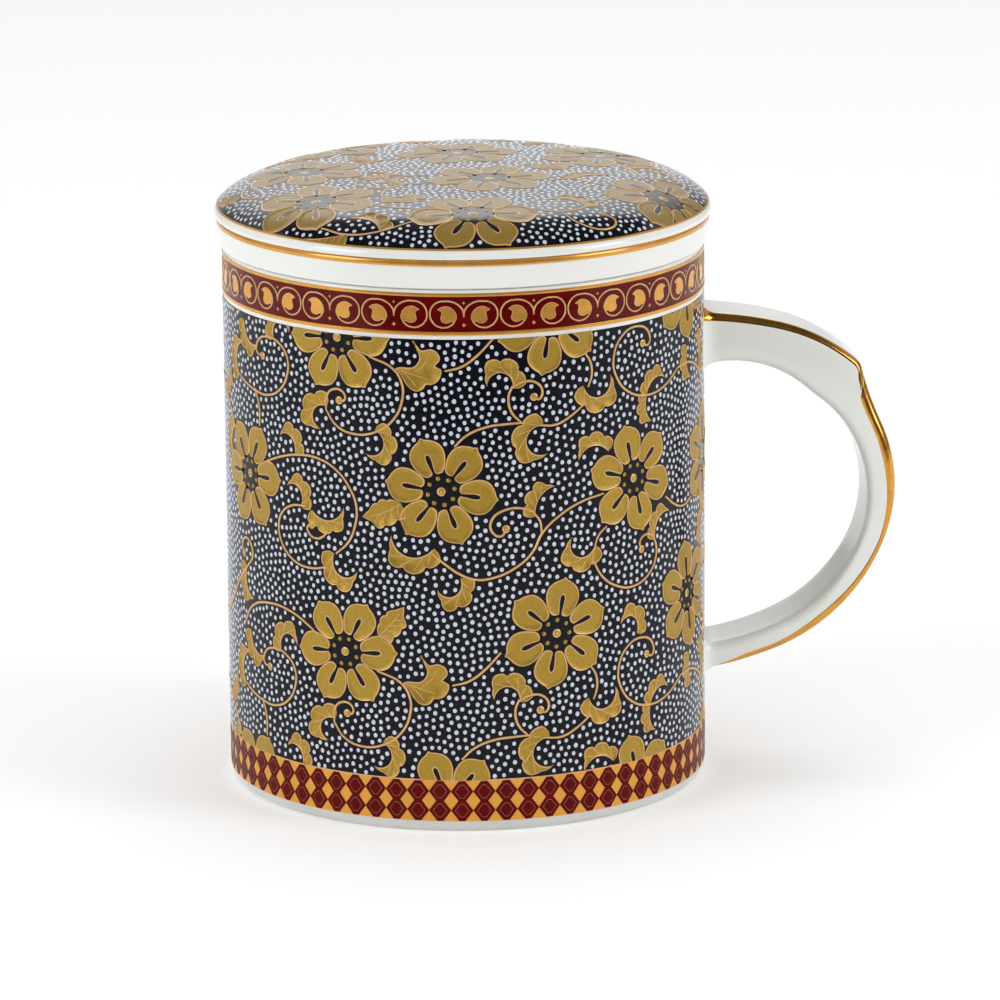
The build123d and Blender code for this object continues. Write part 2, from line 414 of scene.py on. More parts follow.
def rounded(corners, steps=6):
    """A closed profile through (radius, height, rounding) corners, each turned by an arc."""
    profile = []
    count = len(corners)
    for i, (r, z, rounding) in enumerate(corners):
        here = Vector((r, z))
        if not rounding:
            profile.append((r, z))
            continue
        back = (Vector(corners[i - 1][:2]) - here).normalized()
        ahead = (Vector(corners[(i + 1) % count][:2]) - here).normalized()
        half = math.acos(max(-1.0, min(1.0, back.dot(ahead)))) / 2
        centre = here + (back + ahead).normalized() * (rounding / math.sin(half))
        start = here + back * (rounding / math.tan(half)) - centre
        end = here + ahead * (rounding / math.tan(half)) - centre
        sweep = start.angle_signed(end)
        for k in range(steps + 1):
            turn = -sweep * k / steps
            spoke = Matrix.Rotation(turn, 2) @ start
            profile.append(tuple(centre + spoke))
    return profile


def joined(name, pieces):
    fresh()
    for piece in pieces:
        piece.select_set(True)
    bpy.context.view_layer.objects.active = pieces[0]
    if len(pieces) > 1:
        bpy.ops.object.join()
    return named(bpy.context.object, name)


def copied(piece, place):
    """A copy with its own mesh, moved by a matrix."""
    twin = piece.copy()
    twin.data = piece.data.copy()
    bpy.context.collection.objects.link(twin)
    twin.data.transform(place)
    if place.is_negative:
        twin.data.flip_normals()
    return twin


def dress(piece, *names):
    """Give a piece the named finishes, in order."""
    for name in names:
        piece.data.materials.append(fired(name))
    return piece


def mark(index, ring=False):
    """Give the faces selected in edit mode, and the ring round them, one of the finishes."""
    mesh = bmesh.from_edit_mesh(bpy.context.object.data)
    for face in [face for face in mesh.faces if face.select]:
        face.material_index = index
        for beside in [other for edge in face.edges for other in edge.link_faces if ring]:
            beside.material_index = index
    bmesh.update_edit_mesh(bpy.context.object.data)


def cut(piece, point, normal, fill):
    """Cut a piece by a plane and drop what lies on the normal's side."""
    edit(piece)
    bpy.ops.mesh.bisect(plane_co=point, plane_no=normal, use_fill=fill, clear_outer=True)
    done()


def hollowed(piece, cutter):
    """Cut one piece out of another."""
    take(piece)
    modifier = piece.modifiers.new("cut", "BOOLEAN")
    modifier.operation = "DIFFERENCE"
    modifier.solver = "EXACT"
    modifier.object = cutter
    bpy.ops.object.modifier_apply(modifier="cut")
    bpy.data.objects.remove(cutter)
    return piece


def placed(piece, body, slot, *nodes):
    """Scale a finished piece from millimetres and hang it on its body."""
    piece.data.transform(Matrix.Scale(MM, 4))
    piece.data.update()
    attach(piece, body)
    if nodes:
        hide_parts(*nodes)
    fresh()


# The wall and the lid as places for flat work


def onto_wall(piece, radius):
    """Wrap flat work round the wall: across becomes the way round, depth stands off it."""
    u, z, h = points_of(piece).T
    turn, far = 2 * math.pi * u / LAP, radius + h
    set_points(piece, np.column_stack((far * np.sin(turn), -far * np.cos(turn), z)))


# Where the lid's shoulder meets the collar, and where it gives way to the crown
EDGE_ANGLE, CROWN_ANGLE = 10.0, 84.0
SHOULDER_SINK = 0.3
CROWN_STEPS = 14
PATH_STEPS = 80


def dome_profile(rise=0.0, low_angle=EDGE_ANGLE, steps=26):
    """The lid's upper line from its edge to its middle, as (radius, height)."""
    s = sizes()
    run, lift = mm(s.shoulder_run) + rise, mm(s.shoulder_rise) + rise
    centre, base = mm(s.lid_radius) - mm(s.shoulder_run), mm(s.collar_top) - SHOULDER_SINK
    line = []
    for k in range(steps + 1):
        turn = math.radians(low_angle + (CROWN_ANGLE - low_angle) * k / steps)
        line.append((centre + run * math.cos(turn), base + lift * math.sin(turn)))
    last, before = Vector(line[-1]), math.radians(CROWN_ANGLE)
    slope = math.atan2(lift * math.cos(before), run * math.sin(before))
    bow = last.x / math.sin(slope)
    for k in range(1, CROWN_STEPS + 1):
        r = last.x * (1 - k / CROWN_STEPS)
        line.append((r, last.y + math.sqrt(bow**2 - r**2) - math.sqrt(bow**2 - last.x**2)))
    return line


def lid_path():
    """Distance from the lid's middle along its top, with radius, height and normal there."""
    line = np.array(dome_profile(steps=PATH_STEPS)[::-1])
    step = np.hypot(*np.diff(line, axis=0).T)
    way = np.concatenate(([0.0], np.cumsum(step)))
    slope = np.gradient(line, way, axis=0)
    return way, line[:, 0], line[:, 1], -slope[:, 1], slope[:, 0]


def onto_lid(piece):
    """Lay flat work on the lid's dome, keeping lengths along each ray from its middle."""
    x, y, h = points_of(piece).T
    far, turn = np.hypot(x, y), np.arctan2(y, x)
    way, radius, height, out, up = lid_path()
    r = np.interp(far, way, radius) + h * np.interp(far, way, out)
    z = np.interp(far, way, height) + h * np.interp(far, way, up)
    set_points(piece, np.column_stack((r * np.cos(turn), r * np.sin(turn), z)))


# Motifs of the vine print, drawn flat


WALL_FLOWERS = (
    (-25.85, 85.15, 3),
    (11.45, 88.65, 20),
    (43.85, 89.8, 38),
    (-48.7, 57.9, 3),
    (-7.5, 59.65, -9),
    (28.1, 59.0, 43),
    (54.5, 57.7, 30),
)

# Vines as points along the wall and up it; a curl ends in a bud
WALL_VINES = (
    (
        (-19.8, 82.4), (-15.6, 80.6), (-14.1, 78.3), (-14.0, 75.3), (-15.6, 71.8), (-18.7, 69.5),
        (-22.9, 68.8), (-26.3, 70.0), (-28.2, 72.4),
    ),
    ((-6.7, 80.4), (-4.0, 81.1), (-1.5, 82.8), (1.6, 86.0)),
    (
        (-42.8, 61.2), (-38.8, 62.7), (-34.5, 63.7), (-30.0, 63.7), (-26.4, 62.2), (-23.8, 59.4),
        (-22.5, 56.1), (-22.9, 52.6), (-24.2, 49.8), (-26.6, 47.6),
    ),
    (
        (-28.6, 44.9), (-32.6, 44.3), (-36.1, 45.1), (-38.9, 47.6), (-39.7, 50.6), (-38.8, 52.9),
        (-36.2, 54.6), (-33.0, 55.0),
    ),
    ((-46.3, 73.3), (-45.0, 70.6), (-44.9, 66.9)),
    ((-5.2, 67.4), (-3.2, 69.3), (0.1, 70.7), (3.5, 71.1), (6.6, 71.2)),
    ((6.2, 71.2), (4.5, 73.1), (4.0, 75.7), (4.7, 77.6)),
    ((9.0, 70.6), (12.2, 70.4), (15.0, 71.6), (17.9, 73.6)),
    ((17.8, 82.2), (18.9, 80.4), (19.1, 78.2), (18.4, 76.2)),
    (
        (21.4, 57.4), (16.8, 56.5), (13.0, 54.7), (9.8, 52.0), (7.9, 48.6), (4.5, 45.9),
        (0.7, 44.5), (-2.0, 44.4), (-4.6, 45.4), (-6.9, 47.0), (-9.2, 48.9),
    ),
    ((9.6, 51.8), (9.3, 54.0), (8.3, 55.4)),
    ((22.0, 51.6), (20.3, 50.2), (19.4, 47.8)),
    ((36.6, 54.2), (39.6, 52.2), (43.0, 51.2), (46.4, 52.0)),
    ((41.0, 75.9), (46.0, 75.8), (51.5, 73.0), (54.8, 67.2)),
    ((-31.2, 87.2), (-33.6, 88.7), (-37.4, 90.3), (-43.6, 90.7), (-49.6, 88.8), (-52.4, 85.4)),
    ((60.4, 57.7), (66.6, 57.4), (72.0, 60.6), (76.6, 65.2), (80.4, 68.4)),
    ((55.4, 48.2), (60.0, 45.2), (66.4, 44.6), (72.2, 41.6), (76.4, 37.4)),
)
WALL_CURLS = (
    ((-28.2, 72.4), (-28.1, 74.8), (-26.4, 76.2), (-24.6, 75.6), (-24.6, 74.4), (-25.6, 74.3)),
    ((-28.2, 51.4), (-29.4, 50.1), (-30.8, 49.7), (-32.2, 50.3), (-32.6, 51.5), (-31.7, 51.9)),
    (
        (-52.4, 74.6), (-49.4, 73.6), (-46.0, 72.9), (-42.4, 72.8), (-38.9, 74.3), (-36.9, 77.2),
        (-36.8, 80.2), (-38.7, 82.3), (-42.1, 83.0), (-45.1, 81.7), (-45.4, 79.9), (-43.7, 79.4),
    ),
    ((4.7, 77.4), (6.5, 78.2), (8.7, 78.0), (9.9, 76.4), (9.3, 75.1), (8.4, 75.5)),
    ((8.3, 55.6), (6.3, 56.4), (3.3, 56.3), (1.0, 54.7), (1.0, 52.6), (2.6, 51.8), (3.4, 53.0)),
    (
        (19.2, 46.0), (21.2, 42.8), (24.4, 40.7), (27.8, 40.1), (31.6, 41.4), (33.7, 44.2),
        (33.4, 47.2), (31.6, 48.6), (29.5, 47.6), (30.0, 46.2),
    ),
    (
        (41.0, 75.9), (35.9, 73.4), (31.1, 72.9), (26.8, 74.3), (24.3, 77.1), (23.6, 80.4),
        (25.4, 84.0), (29.0, 85.2), (32.0, 83.6), (31.8, 81.6), (30.5, 82.0),
    ),
    ((48.4, 79.8), (52.0, 79.4), (54.4, 81.6), (53.6, 84.2), (51.4, 84.0)),
    ((53.4, 41.8), (53.2, 39.4), (55.4, 37.6), (58.2, 38.4), (58.4, 40.8), (56.6, 41.2)),
    ((80.4, 68.4), (82.6, 71.0), (81.0, 73.2), (78.4, 72.4), (78.8, 70.4)),
)
# Leaves as base, belly, tip and half width; the lobes grow on the outer side of the bend
WALL_LEAVES = (
    (-28.0, 73.0, -31.2, 72.8, -29.4, 69.0, 1.75),
    (-18.9, 69.8, -16.7, 67.2, -20.6, 65.6, 1.5),
    (-35.2, 63.8, -35.6, 66.9, -39.0, 66.4, 1.45),
    (-34.0, 54.8, -33.3, 57.4, -37.3, 57.9, 1.45),
    (-27.0, 47.6, -26.9, 43.7, -22.5, 45.0, 1.65),
    (-31.6, 54.6, -28.4, 52.5, -25.0, 55.8, 1.5),
    (-14.4, 57.4, -17.6, 55.6, -21.4, 54.6, 2.2, 0.95),
    (-8.8, 49.8, -12.6, 47.3, -16.2, 51.8, 1.75),
    (10.0, 70.6, 6.3, 68.1, 10.7, 65.6, 1.65),
    (4.8, 77.2, 4.0, 80.3, 0.4, 77.7, 1.65),
    (17.4, 76.6, 19.9, 73.5, 22.9, 77.8, 1.65),
    (-4.4, 44.6, -4.7, 41.2, -8.3, 42.6, 1.6),
    (8.4, 54.8, 8.6, 58.2, 12.1, 59.8, 1.5),
    (19.6, 48.6, 16.6, 46.2, 15.2, 50.6, 1.6),
    (33.4, 47.4, 33.6, 50.6, 37.9, 51.3, 1.35),
    (31.2, 72.9, 33.2, 75.9, 36.4, 75.0, 1.4),
    (31.3, 72.9, 30.5, 70.6, 32.7, 68.2, 1.4),
    (22.4, 64.6, 19.6, 66.6, 16.5, 63.7, 1.5),
    (27.9, 86.2, 27.4, 89.8, 24.2, 88.4, 1.5),
    (-19.5, 88.4, -17.1, 90.9, -14.8, 93.9, 2.0, 0.95),
    (-50.0, 84.6, -48.9, 80.9, -45.0, 81.2, 1.65),
    (-40.2, 82.9, -39.6, 86.6, -36.2, 84.6, 1.5),
    (-52.4, 74.4, -54.4, 77.2, -50.5, 80.3, 1.6),
    (51.0, 73.4, 52.2, 76.6, 48.2, 79.8, 1.65),
    (55.2, 47.8, 51.6, 45.6, 53.4, 41.8, 1.6),
    (44.6, 78.9, 43.6, 76.2, 46.4, 73.2, 1.6),
    (80.2, 68.4, 79.2, 65.2, 82.8, 63.2, 1.65),
    (69.4, 43.4, 72.6, 44.8, 74.4, 48.2, 1.65),
    (76.2, 37.6, 73.4, 35.6, 75.8, 32.2, 1.7),
)
WALL_DESIGN = {
    "size": 1.0,
    "flowers": WALL_FLOWERS,
    "fans": ((-15.2, 80.6, 0),),
    "vines": WALL_VINES,
    "curls": WALL_CURLS,
    "leaves": WALL_LEAVES,
}
LID_DESIGN = {
    "size": 1.14,
    "flowers": (
        (4, -8, 10), (-26.5, -19.5, 25), (-1, -33, 0), (33, -18.5, 15), (-27, 3.5, 30),
        (0.5, 16, 5), (25, 12, 20), (-21.5, 27, 10), (11, 38.5, 20),
    ),
    "fans": ((-15.5, -19, -40), (12, 4.5, -35), (29.5, 21.5, 75)),
    "vines": (
        ((-17.4, -25), (-14, -27.6), (-10.6, -29)),
        ((-11, -34.4), (-17, -36), (-22.5, -34.6), (-26.6, -30.6)),
        ((9.4, -31), (14, -31.6), (18.6, -28.6), (23.4, -22.6)),
        ((-6.6, -11.4), (-10.6, -11.2), (-14, -14.4), (-15.5, -19)),
        ((14.4, -10.6), (18, -9.4), (20.6, -12), (23.2, -14.6)),
        ((-16.4, 0), (-13, -1), (-10, -4), (-6.4, -4.6)),
        ((8.6, 0.6), (10.6, 2.6), (12, 4.5)),
        ((-17, 7.4), (-13.6, 10.6), (-9.4, 11.6)),
        ((28, 1.6), (29.6, -2.6), (30.8, -8)),
        ((-11.2, 31), (-6, 35), (0.4, 37)),
        ((20.6, 22.2), (19, 26), (16.2, 29)),
        ((28, 19.6), (29, 20.6), (29.5, 21.5)),
        ((-22, 16.6), (-27, 15.5)),
        ((-37.4, 0.6), (-38.5, -6), (-35, -11)),
        ((35.4, 14), (38.4, 12), (41, 8)),
    ),
    "curls": (
        ((14, -31.6), (16.6, -35), (21, -35.6), (23.4, -32.4), (21.2, -30.6)),
        ((-14, -14.4), (-17.6, -11.6), (-19, -8.2), (-16.4, -6.4), (-14.8, -8.2)),
        ((29.6, -2.6), (33.6, -1), (37, -3.6), (36, -7), (33.4, -6)),
        ((-6, 35), (-9.6, 38), (-13.4, 37.6), (-13.6, 34.4), (-11.4, 34.6)),
        ((19, 26), (22.4, 30.4), (26.4, 30.6), (27.4, 27.4), (25, 26.8)),
    ),
    "leaves": (
        (-17, -36, -17.6, -31.6, -21.6, -30, 1.8),
        (-22.5, -34.6, -26.6, -34, -30, -31, 1.6),
        (18.6, -28.6, 16.4, -24.6, 12.4, -25.4, 1.8),
        (-10.6, -11.2, -12.4, -7.4, -9.6, -4.4, 1.6),
        (18, -9.4, 20.6, -6, 24.6, -6.6, 1.8),
        (-13, -1, -15.4, -4, -19.2, -3.6, 1.7),
        (-13.6, 10.6, -16.4, 13.4, -13.6, 16.8, 1.7),
        (28.8, -0.6, 32, 2.2, 35.6, 1.2, 1.7),
        (-6, 35, -6.2, 30.6, -2.4, 28.2, 1.8),
        (19, 26, 15.2, 25, 13, 21.6, 1.7),
        (-27, 15.5, -30.5, 16.5, -33, 13.5, 1.7),
        (-38.5, -5, -40.8, -3.4, -40.4, 1, 1.5),
    ),
}
# The way round the wall on the print's own face, in millimetres
LAP = 2 * math.pi * 41.6
# The bare wall under the handle's roots: half its width, and the heights of the two places
ROOT_HALF = 8.1
ROOTS = ((70.8, 82.8), (16.4, 24.2))
# How far motifs and dots start below the ground that carries them
SUNK, DOT_SUNK = 0.04, 0.03


def laid_out(points, reach=0.0):
    """Every place on the wall where the half-way-round, half-drop repeat puts some points."""
    tall, lean = mm(prints().repeat), mm(prints().lean)
    low, high = node_low("pattern_wrap_decal") - reach, node_top("pattern_wrap_decal") + reach
    for side in (0, 1):
        for row in (-2, -1, 0, 1):
            moved = [
                (u + side * LAP / 2 - row * lean, z - side * tall / 2 + row * tall)
                for u, z in points
            ]
            if min(z for _, z in moved) < high and max(z for _, z in moved) > low:
                yield moved


def at_roots(u, z, margin):
    """Does a point of the wall lie under one of the handle's roots?"""
    u = (u + LAP / 2) % LAP - LAP / 2
    near = abs(u - LAP / 4) < ROOT_HALF + margin
    return near and any(low - margin < z < high + margin for low, high in ROOTS)


def gold_pair(piece):
    return dress(piece, "outline_gold", "petal_gold", "print_ground")


def domed_dot(name, radius, lift, sides):
    """A low round drop of enamel or gold."""
    ring = [polar(radius, 2 * math.pi * k / sides) + (-DOT_SUNK,) for k in range(sides)]
    piece = outlined(name, ring)
    edit(piece)
    bpy.ops.mesh.inset(thickness=radius * 0.42, depth=lift + DOT_SUNK)
    if sides > 8:
        bpy.ops.mesh.inset(thickness=radius * 0.3, depth=0.3 * lift)
    done()
    return piece


def smoothed(points, steps=2):
    """A closed smooth line through points."""
    spots = [Vector(point) for point in points]
    count, line = len(spots), []
    for i in range(count):
        a, b, c, d = (spots[(i + k) % count] for k in (-1, 0, 1, 2))
        for k in range(steps):
            t = k / steps
            spot = b + (c - a) * (t / 2)
            spot = spot + (2 * a - 5 * b + 4 * c - d) * (t**2 / 2)
            line.append(spot + (3 * (b - c) + d - a) * (t**3 / 2))
    return [tuple(spot) for spot in line]


def mirrored(side):
    """A closed outline from one side of it, given from end to end along the axis."""
    return list(side) + [(x, -y) for x, y in side[-2:0:-1]]


def sunk(line):
    """A flat line as the foot of a motif, a little below the ground."""
    return [(x, y, -SUNK) for x, y in line]


def step_in(share, rise, centre):
    """Draw the selected face up and in towards a point by a share of its size."""
    bpy.ops.mesh.extrude_region_move(TRANSFORM_OT_translate={"value": (0.0, 0.0, rise)})
    bpy.ops.transform.resize(value=(share, share, 1.0), center_override=(centre[0], centre[1], 0.0))


# A pad's step with a first value above this draws its top in by that share; below it, it insets
LEAST_SHARE = 0.3


def pad(piece, centre, *steps):
    """Raise a flat outline to a pad: an int names the next finish, a pair shapes the top."""
    edit(piece)
    index = 0
    for step in steps:
        if isinstance(step, int):
            index = step
            mark(index)
            continue
        if step[0] > LEAST_SHARE:
            step_in(step[0], step[1], centre)
        else:
            bpy.ops.mesh.inset(thickness=step[0], depth=step[1])
        mark(index, True)
    done()
    return piece


PETAL_SIDE = (
    (3.44, 0), (3.1, 0.45), (2.96, 0.95), (3.06, 1.5), (3.44, 1.95), (4.01, 2.3), (4.77, 2.7),
    (5.73, 3), (6.78, 3.06), (7.74, 2.8), (8.5, 2.18), (9.07, 1.3), (9.41, 0.5), (9.84, 0),
)
SLIT_SIDE = (
    (2.95, 0.0), (2.95, 0.2), (3.9, 0.25), (4.9, 0.36), (5.9, 0.42), (6.5, 0.3), (6.75, 0.0),
)
SLIT_EDGE = (
    (3.4, 0.0), (3.35, 0.4), (3.9, 0.45), (4.9, 0.56), (5.9, 0.62), (6.65, 0.46), (6.98, 0.0),
)


PETAL_MIDDLE, SLIT_MIDDLE = (6.5, 0.0), (5.0, 0.0)
SLIT_RISE = 0.11


def petal():
    """One petal: an egg-shaped pad with a raised outline and a small point."""
    relief = mm(prints().relief)
    piece = gold_pair(outlined("petal", sunk(smoothed(mirrored(PETAL_SIDE)))))
    edge = ((0.98, relief + SUNK), (0.955, 0.0), (0.985, -0.35 * relief))
    return pad(piece, PETAL_MIDDLE, *edge, 1, (0.72, 0.015), (0.5, 0.01))


def slit():
    """The dark slit of a petal inside its thin gold outline."""
    relief = mm(prints().relief)
    edge = gold_pair(outlined("slit_edge", smoothed(mirrored(SLIT_EDGE))))
    pad(edge, SLIT_MIDDLE, (0.03, relief))
    core = gold_pair(outlined("slit", sunk(smoothed(mirrored(SLIT_SIDE)))))
    pad(core, SLIT_MIDDLE, 2, (0.03, relief + SLIT_RISE))
    return joined("slit", [edge, core])


PETALS, STAMENS, STAMEN_RING = 6, 8, 2.32
PISTIL_SIDES = 14


def flower():
    """Six petals with slits round a ring of small gold dots."""
    parts = []
    for shape in (petal(), slit()):
        for k in range(PETALS):
            parts.append(copied(shape, Matrix.Rotation(math.radians(360 // PETALS * k), 4, "Z")))
        bpy.data.objects.remove(shape)
    small = gold_pair(domed_dot("stamen", 0.42, 0.1, 9))
    middle = gold_pair(domed_dot("pistil", 0.82, 0.14, PISTIL_SIDES))
    for dot in (small, middle):
        for face in dot.data.polygons:
            face.material_index = 1
    for face in middle.data.polygons[:PISTIL_SIDES]:
        face.material_index = 0
    for k in range(STAMENS):
        spot = polar(STAMEN_RING, 2 * math.pi * (k + 0.5) / STAMENS)
        parts.append(copied(small, Matrix.Translation(spot + (0,))))
    bpy.data.objects.remove(small)
    return joined("flower", parts + [middle])


def bent(first, middle, last, share):
    """The point, direction and hand at a share of the way along the arc through three points."""
    (ax, ay), (bx, by), (cx, cy) = first, middle, last
    double = 2 * (ax * (by - cy) + bx * (cy - ay) + cx * (ay - by))
    a, b, c = ax**2 + ay**2, bx**2 + by**2, cx**2 + cy**2
    centre = Vector(
        (
            a * (by - cy) + b * (cy - ay) + c * (ay - by),
            a * (cx - bx) + b * (ax - cx) + c * (bx - ax),
        )
    ) / double
    start, end = (math.atan2(p[1] - centre.y, p[0] - centre.x) for p in (first, last))
    hand = 1 if double > 0 else -1
    turn = start + hand * ((hand * (end - start)) % (2 * math.pi)) * share
    spoke = Vector(polar(1.0, turn))
    here = centre + spoke * (Vector(first) - centre).length
    return here, Vector((-spoke.y, spoke.x)) * hand, hand


LEAF_ROWS, LOBES = 30, 3
# A leaf's plainer side as a share of its lobed one: a curled leaf's, and a straight one's least
CURLED, STRAIGHT = 0.45, 0.8


def leaf_lines(spec):
    """A leaf's bent middle line and the half widths on its lobed and its plainer side."""
    half, plain = 1.05 * spec[6], spec[7]
    straight = plain >= STRAIGHT
    rows = []
    for k in range(LEAF_ROWS + 1):
        t = k / LEAF_ROWS
        here, way, hand = bent(spec[0:2], spec[2:4], spec[4:6], t)
        side = Vector((way.y, -way.x)) * hand
        swell = max(0.0, math.sin(math.pi * t**0.85))
        lobe = abs(math.sin(LOBES * math.pi * min(1.0, t / 0.8))) ** 0.6
        fade = min(1.0, max(0.0, (t - 0.66) / 0.18))
        narrow = 1 - 0.6 * fade**2 * (3 - 2 * fade)
        full = min(1.0, t / 0.1) ** 0.5 * narrow * min(1.0, (1 - t) / 0.16)
        outer = half * full * ((0.9 + 0.2 * lobe) if straight else (0.7 + 0.46 * lobe))
        inner = half * plain * swell**0.8 * (0.85 + 0.2 * lobe if straight else 1)
        rows.append((here, side, outer, inner))
    return rows


def sheet(name, across, along):
    """A grid primitive whose points are then set row by row."""
    fresh()
    bpy.ops.mesh.primitive_grid_add(x_subdivisions=across, y_subdivisions=along, size=1.0)
    return named(bpy.context.object, name)


def leaf(spec):
    """A curled leaf: a strip along its middle line with a raised edge and a sunk blade."""
    relief, line = mm(prints().relief), mm(prints().line)
    blade = (0.5 * relief, 0.6 * relief, 0.5 * relief)
    depth = (-SUNK, relief, relief) + blade + (relief, relief, -SUNK)
    steps = (0.0, 0.4 * line, 1.3 * line, 1.3 * line + 0.06)
    strips = len(depth) - 1
    piece = gold_pair(sheet("leaf", strips, LEAF_ROWS))

    def stepped(width):
        least = [0.28 * width * (1 - i / len(steps)) for i in range(len(steps))]
        return [width] + [max(width - step, low) for step, low in zip(steps[1:], least[1:])]

    points = []
    for here, side, outer, inner in leaf_lines(spec):
        across = [-v for v in stepped(inner)] + [0.2 * (outer - inner)] + stepped(outer)[::-1]
        for offset, h in zip(across, depth):
            spot = here + side * offset
            points.append((spot.x, spot.y, h))
    set_points(piece, points)
    for i, face in enumerate(piece.data.polygons):
        face.material_index = 1 if 2 <= i % strips <= strips - 3 else 0
    tidy(piece)
    up = sum(face.normal.z for face in piece.data.polygons)
    if up < 0:
        piece.data.flip_normals()
    return piece


# How flat the wires are pressed, how far they are lifted, and the share of a vine's width in a vein
WIRE_PRESS, WIRE_LIFT, VEIN = 0.75, 0.02, 0.36


def drawn(name, strokes, width):
    """Round wires along smooth strokes of (across, up) points, pressed half flat."""
    fresh()
    line = bpy.data.curves.new(name, "CURVE")
    line.dimensions = "3D"
    line.bevel_depth = width
    line.bevel_resolution = 1
    line.resolution_u = 5
    line.use_fill_caps = True
    for stroke, thin in strokes:
        spline = line.splines.new("BEZIER")
        spline.bezier_points.add(len(stroke) - 1)
        for k, (point, spot) in enumerate(zip(spline.bezier_points, stroke)):
            point.co = (spot[0], spot[1], spot[2] if len(spot) > 2 else 0.0)
            point.handle_left_type = point.handle_right_type = "AUTO"
            point.radius = thin * (0.8 if k in (0, len(stroke) - 1) else 1.0)
    piece = bpy.data.objects.new(name, line)
    bpy.context.collection.objects.link(piece)
    take(piece)
    bpy.ops.object.convert(target="MESH")
    piece = named(bpy.context.object, name)
    spots = points_of(piece)
    spots[:, 2] = spots[:, 2] * WIRE_PRESS + WIRE_LIFT
    set_points(piece, spots)
    return piece


def veins(spec):
    """Fine lines in a leaf, from its inner edge or its middle towards its lobes."""
    rows = leaf_lines(spec)
    straight = spec[7] >= STRAIGHT
    strokes = []
    if straight:
        strokes.append([rows[k][0] for k in (1, 9, 16, 24)])
    for start, end in ((2, 7), (7, 12), (12, 17), (17, 22)):
        here, side, _, inner = rows[start]
        begin = here - side * (0.0 if straight else 0.6 * inner)
        there, side, outer, _ = rows[end]
        middle = (begin + there) / 2 + side * 0.3 * outer
        strokes.append([begin, middle, there + side * 0.68 * outer])
    return [[(p[0], p[1], 0.5 * mm(prints().relief)) for p in stroke] for stroke in strokes]


# A fan-shaped leaf that a vine runs on from, from its base along its axis
FAN = (
    (0, 0), (0.9, -0.9), (1.6, -2.2), (2.6, -3.4), (3.8, -3.8), (4.9, -3.3), (5.3, -2.6),
    (6.2, -2.6), (7.2, -2.1), (7.9, -1.0), (7.9, 0.1), (6.9, 0.65), (7.6, 1.4), (7.7, 2.3),
    (7.1, 3.2), (6.0, 3.6), (4.7, 3.3), (4.1, 3.8), (3.3, 4.7), (3.8, 3.3), (4.2, 2.3), (4.0, 1.3),
    (3.2, 0.45), (2.1, 0.3), (1.0, 0.35),
)
FAN_VEINS = (
    ((0.4, -0.1), (2.2, -0.6), (4.2, -1.2), (5.6, -1.6)), ((1.4, -0.5), (2.6, -1.6), (3.6, -2.8)),
    ((3.4, -0.4), (4.9, 0.8), (5.8, 2.4)),
)


FAN_MIDDLE = (5.0, 0.0)


def fan():
    """A broad leaf with three lobes and a horn."""
    relief, line = mm(prints().relief), mm(prints().line)
    piece = gold_pair(outlined("fan", sunk(smoothed(FAN))))
    edge = ((0.3 * line, relief + SUNK), (0.6 * line, 0.0), (0.04, -0.35 * relief))
    return pad(piece, FAN_MIDDLE, *edge, 1)


# How far a flower, a fan, a leaf and a vine stay clear of bare places
FLOWER_CLEAR, FAN_CLEAR, LEAF_CLEAR, VINE_CLEAR = 6.0, 4.0, 1.5, 0.2
HEART = 1.6
BUD_SIDES = 12


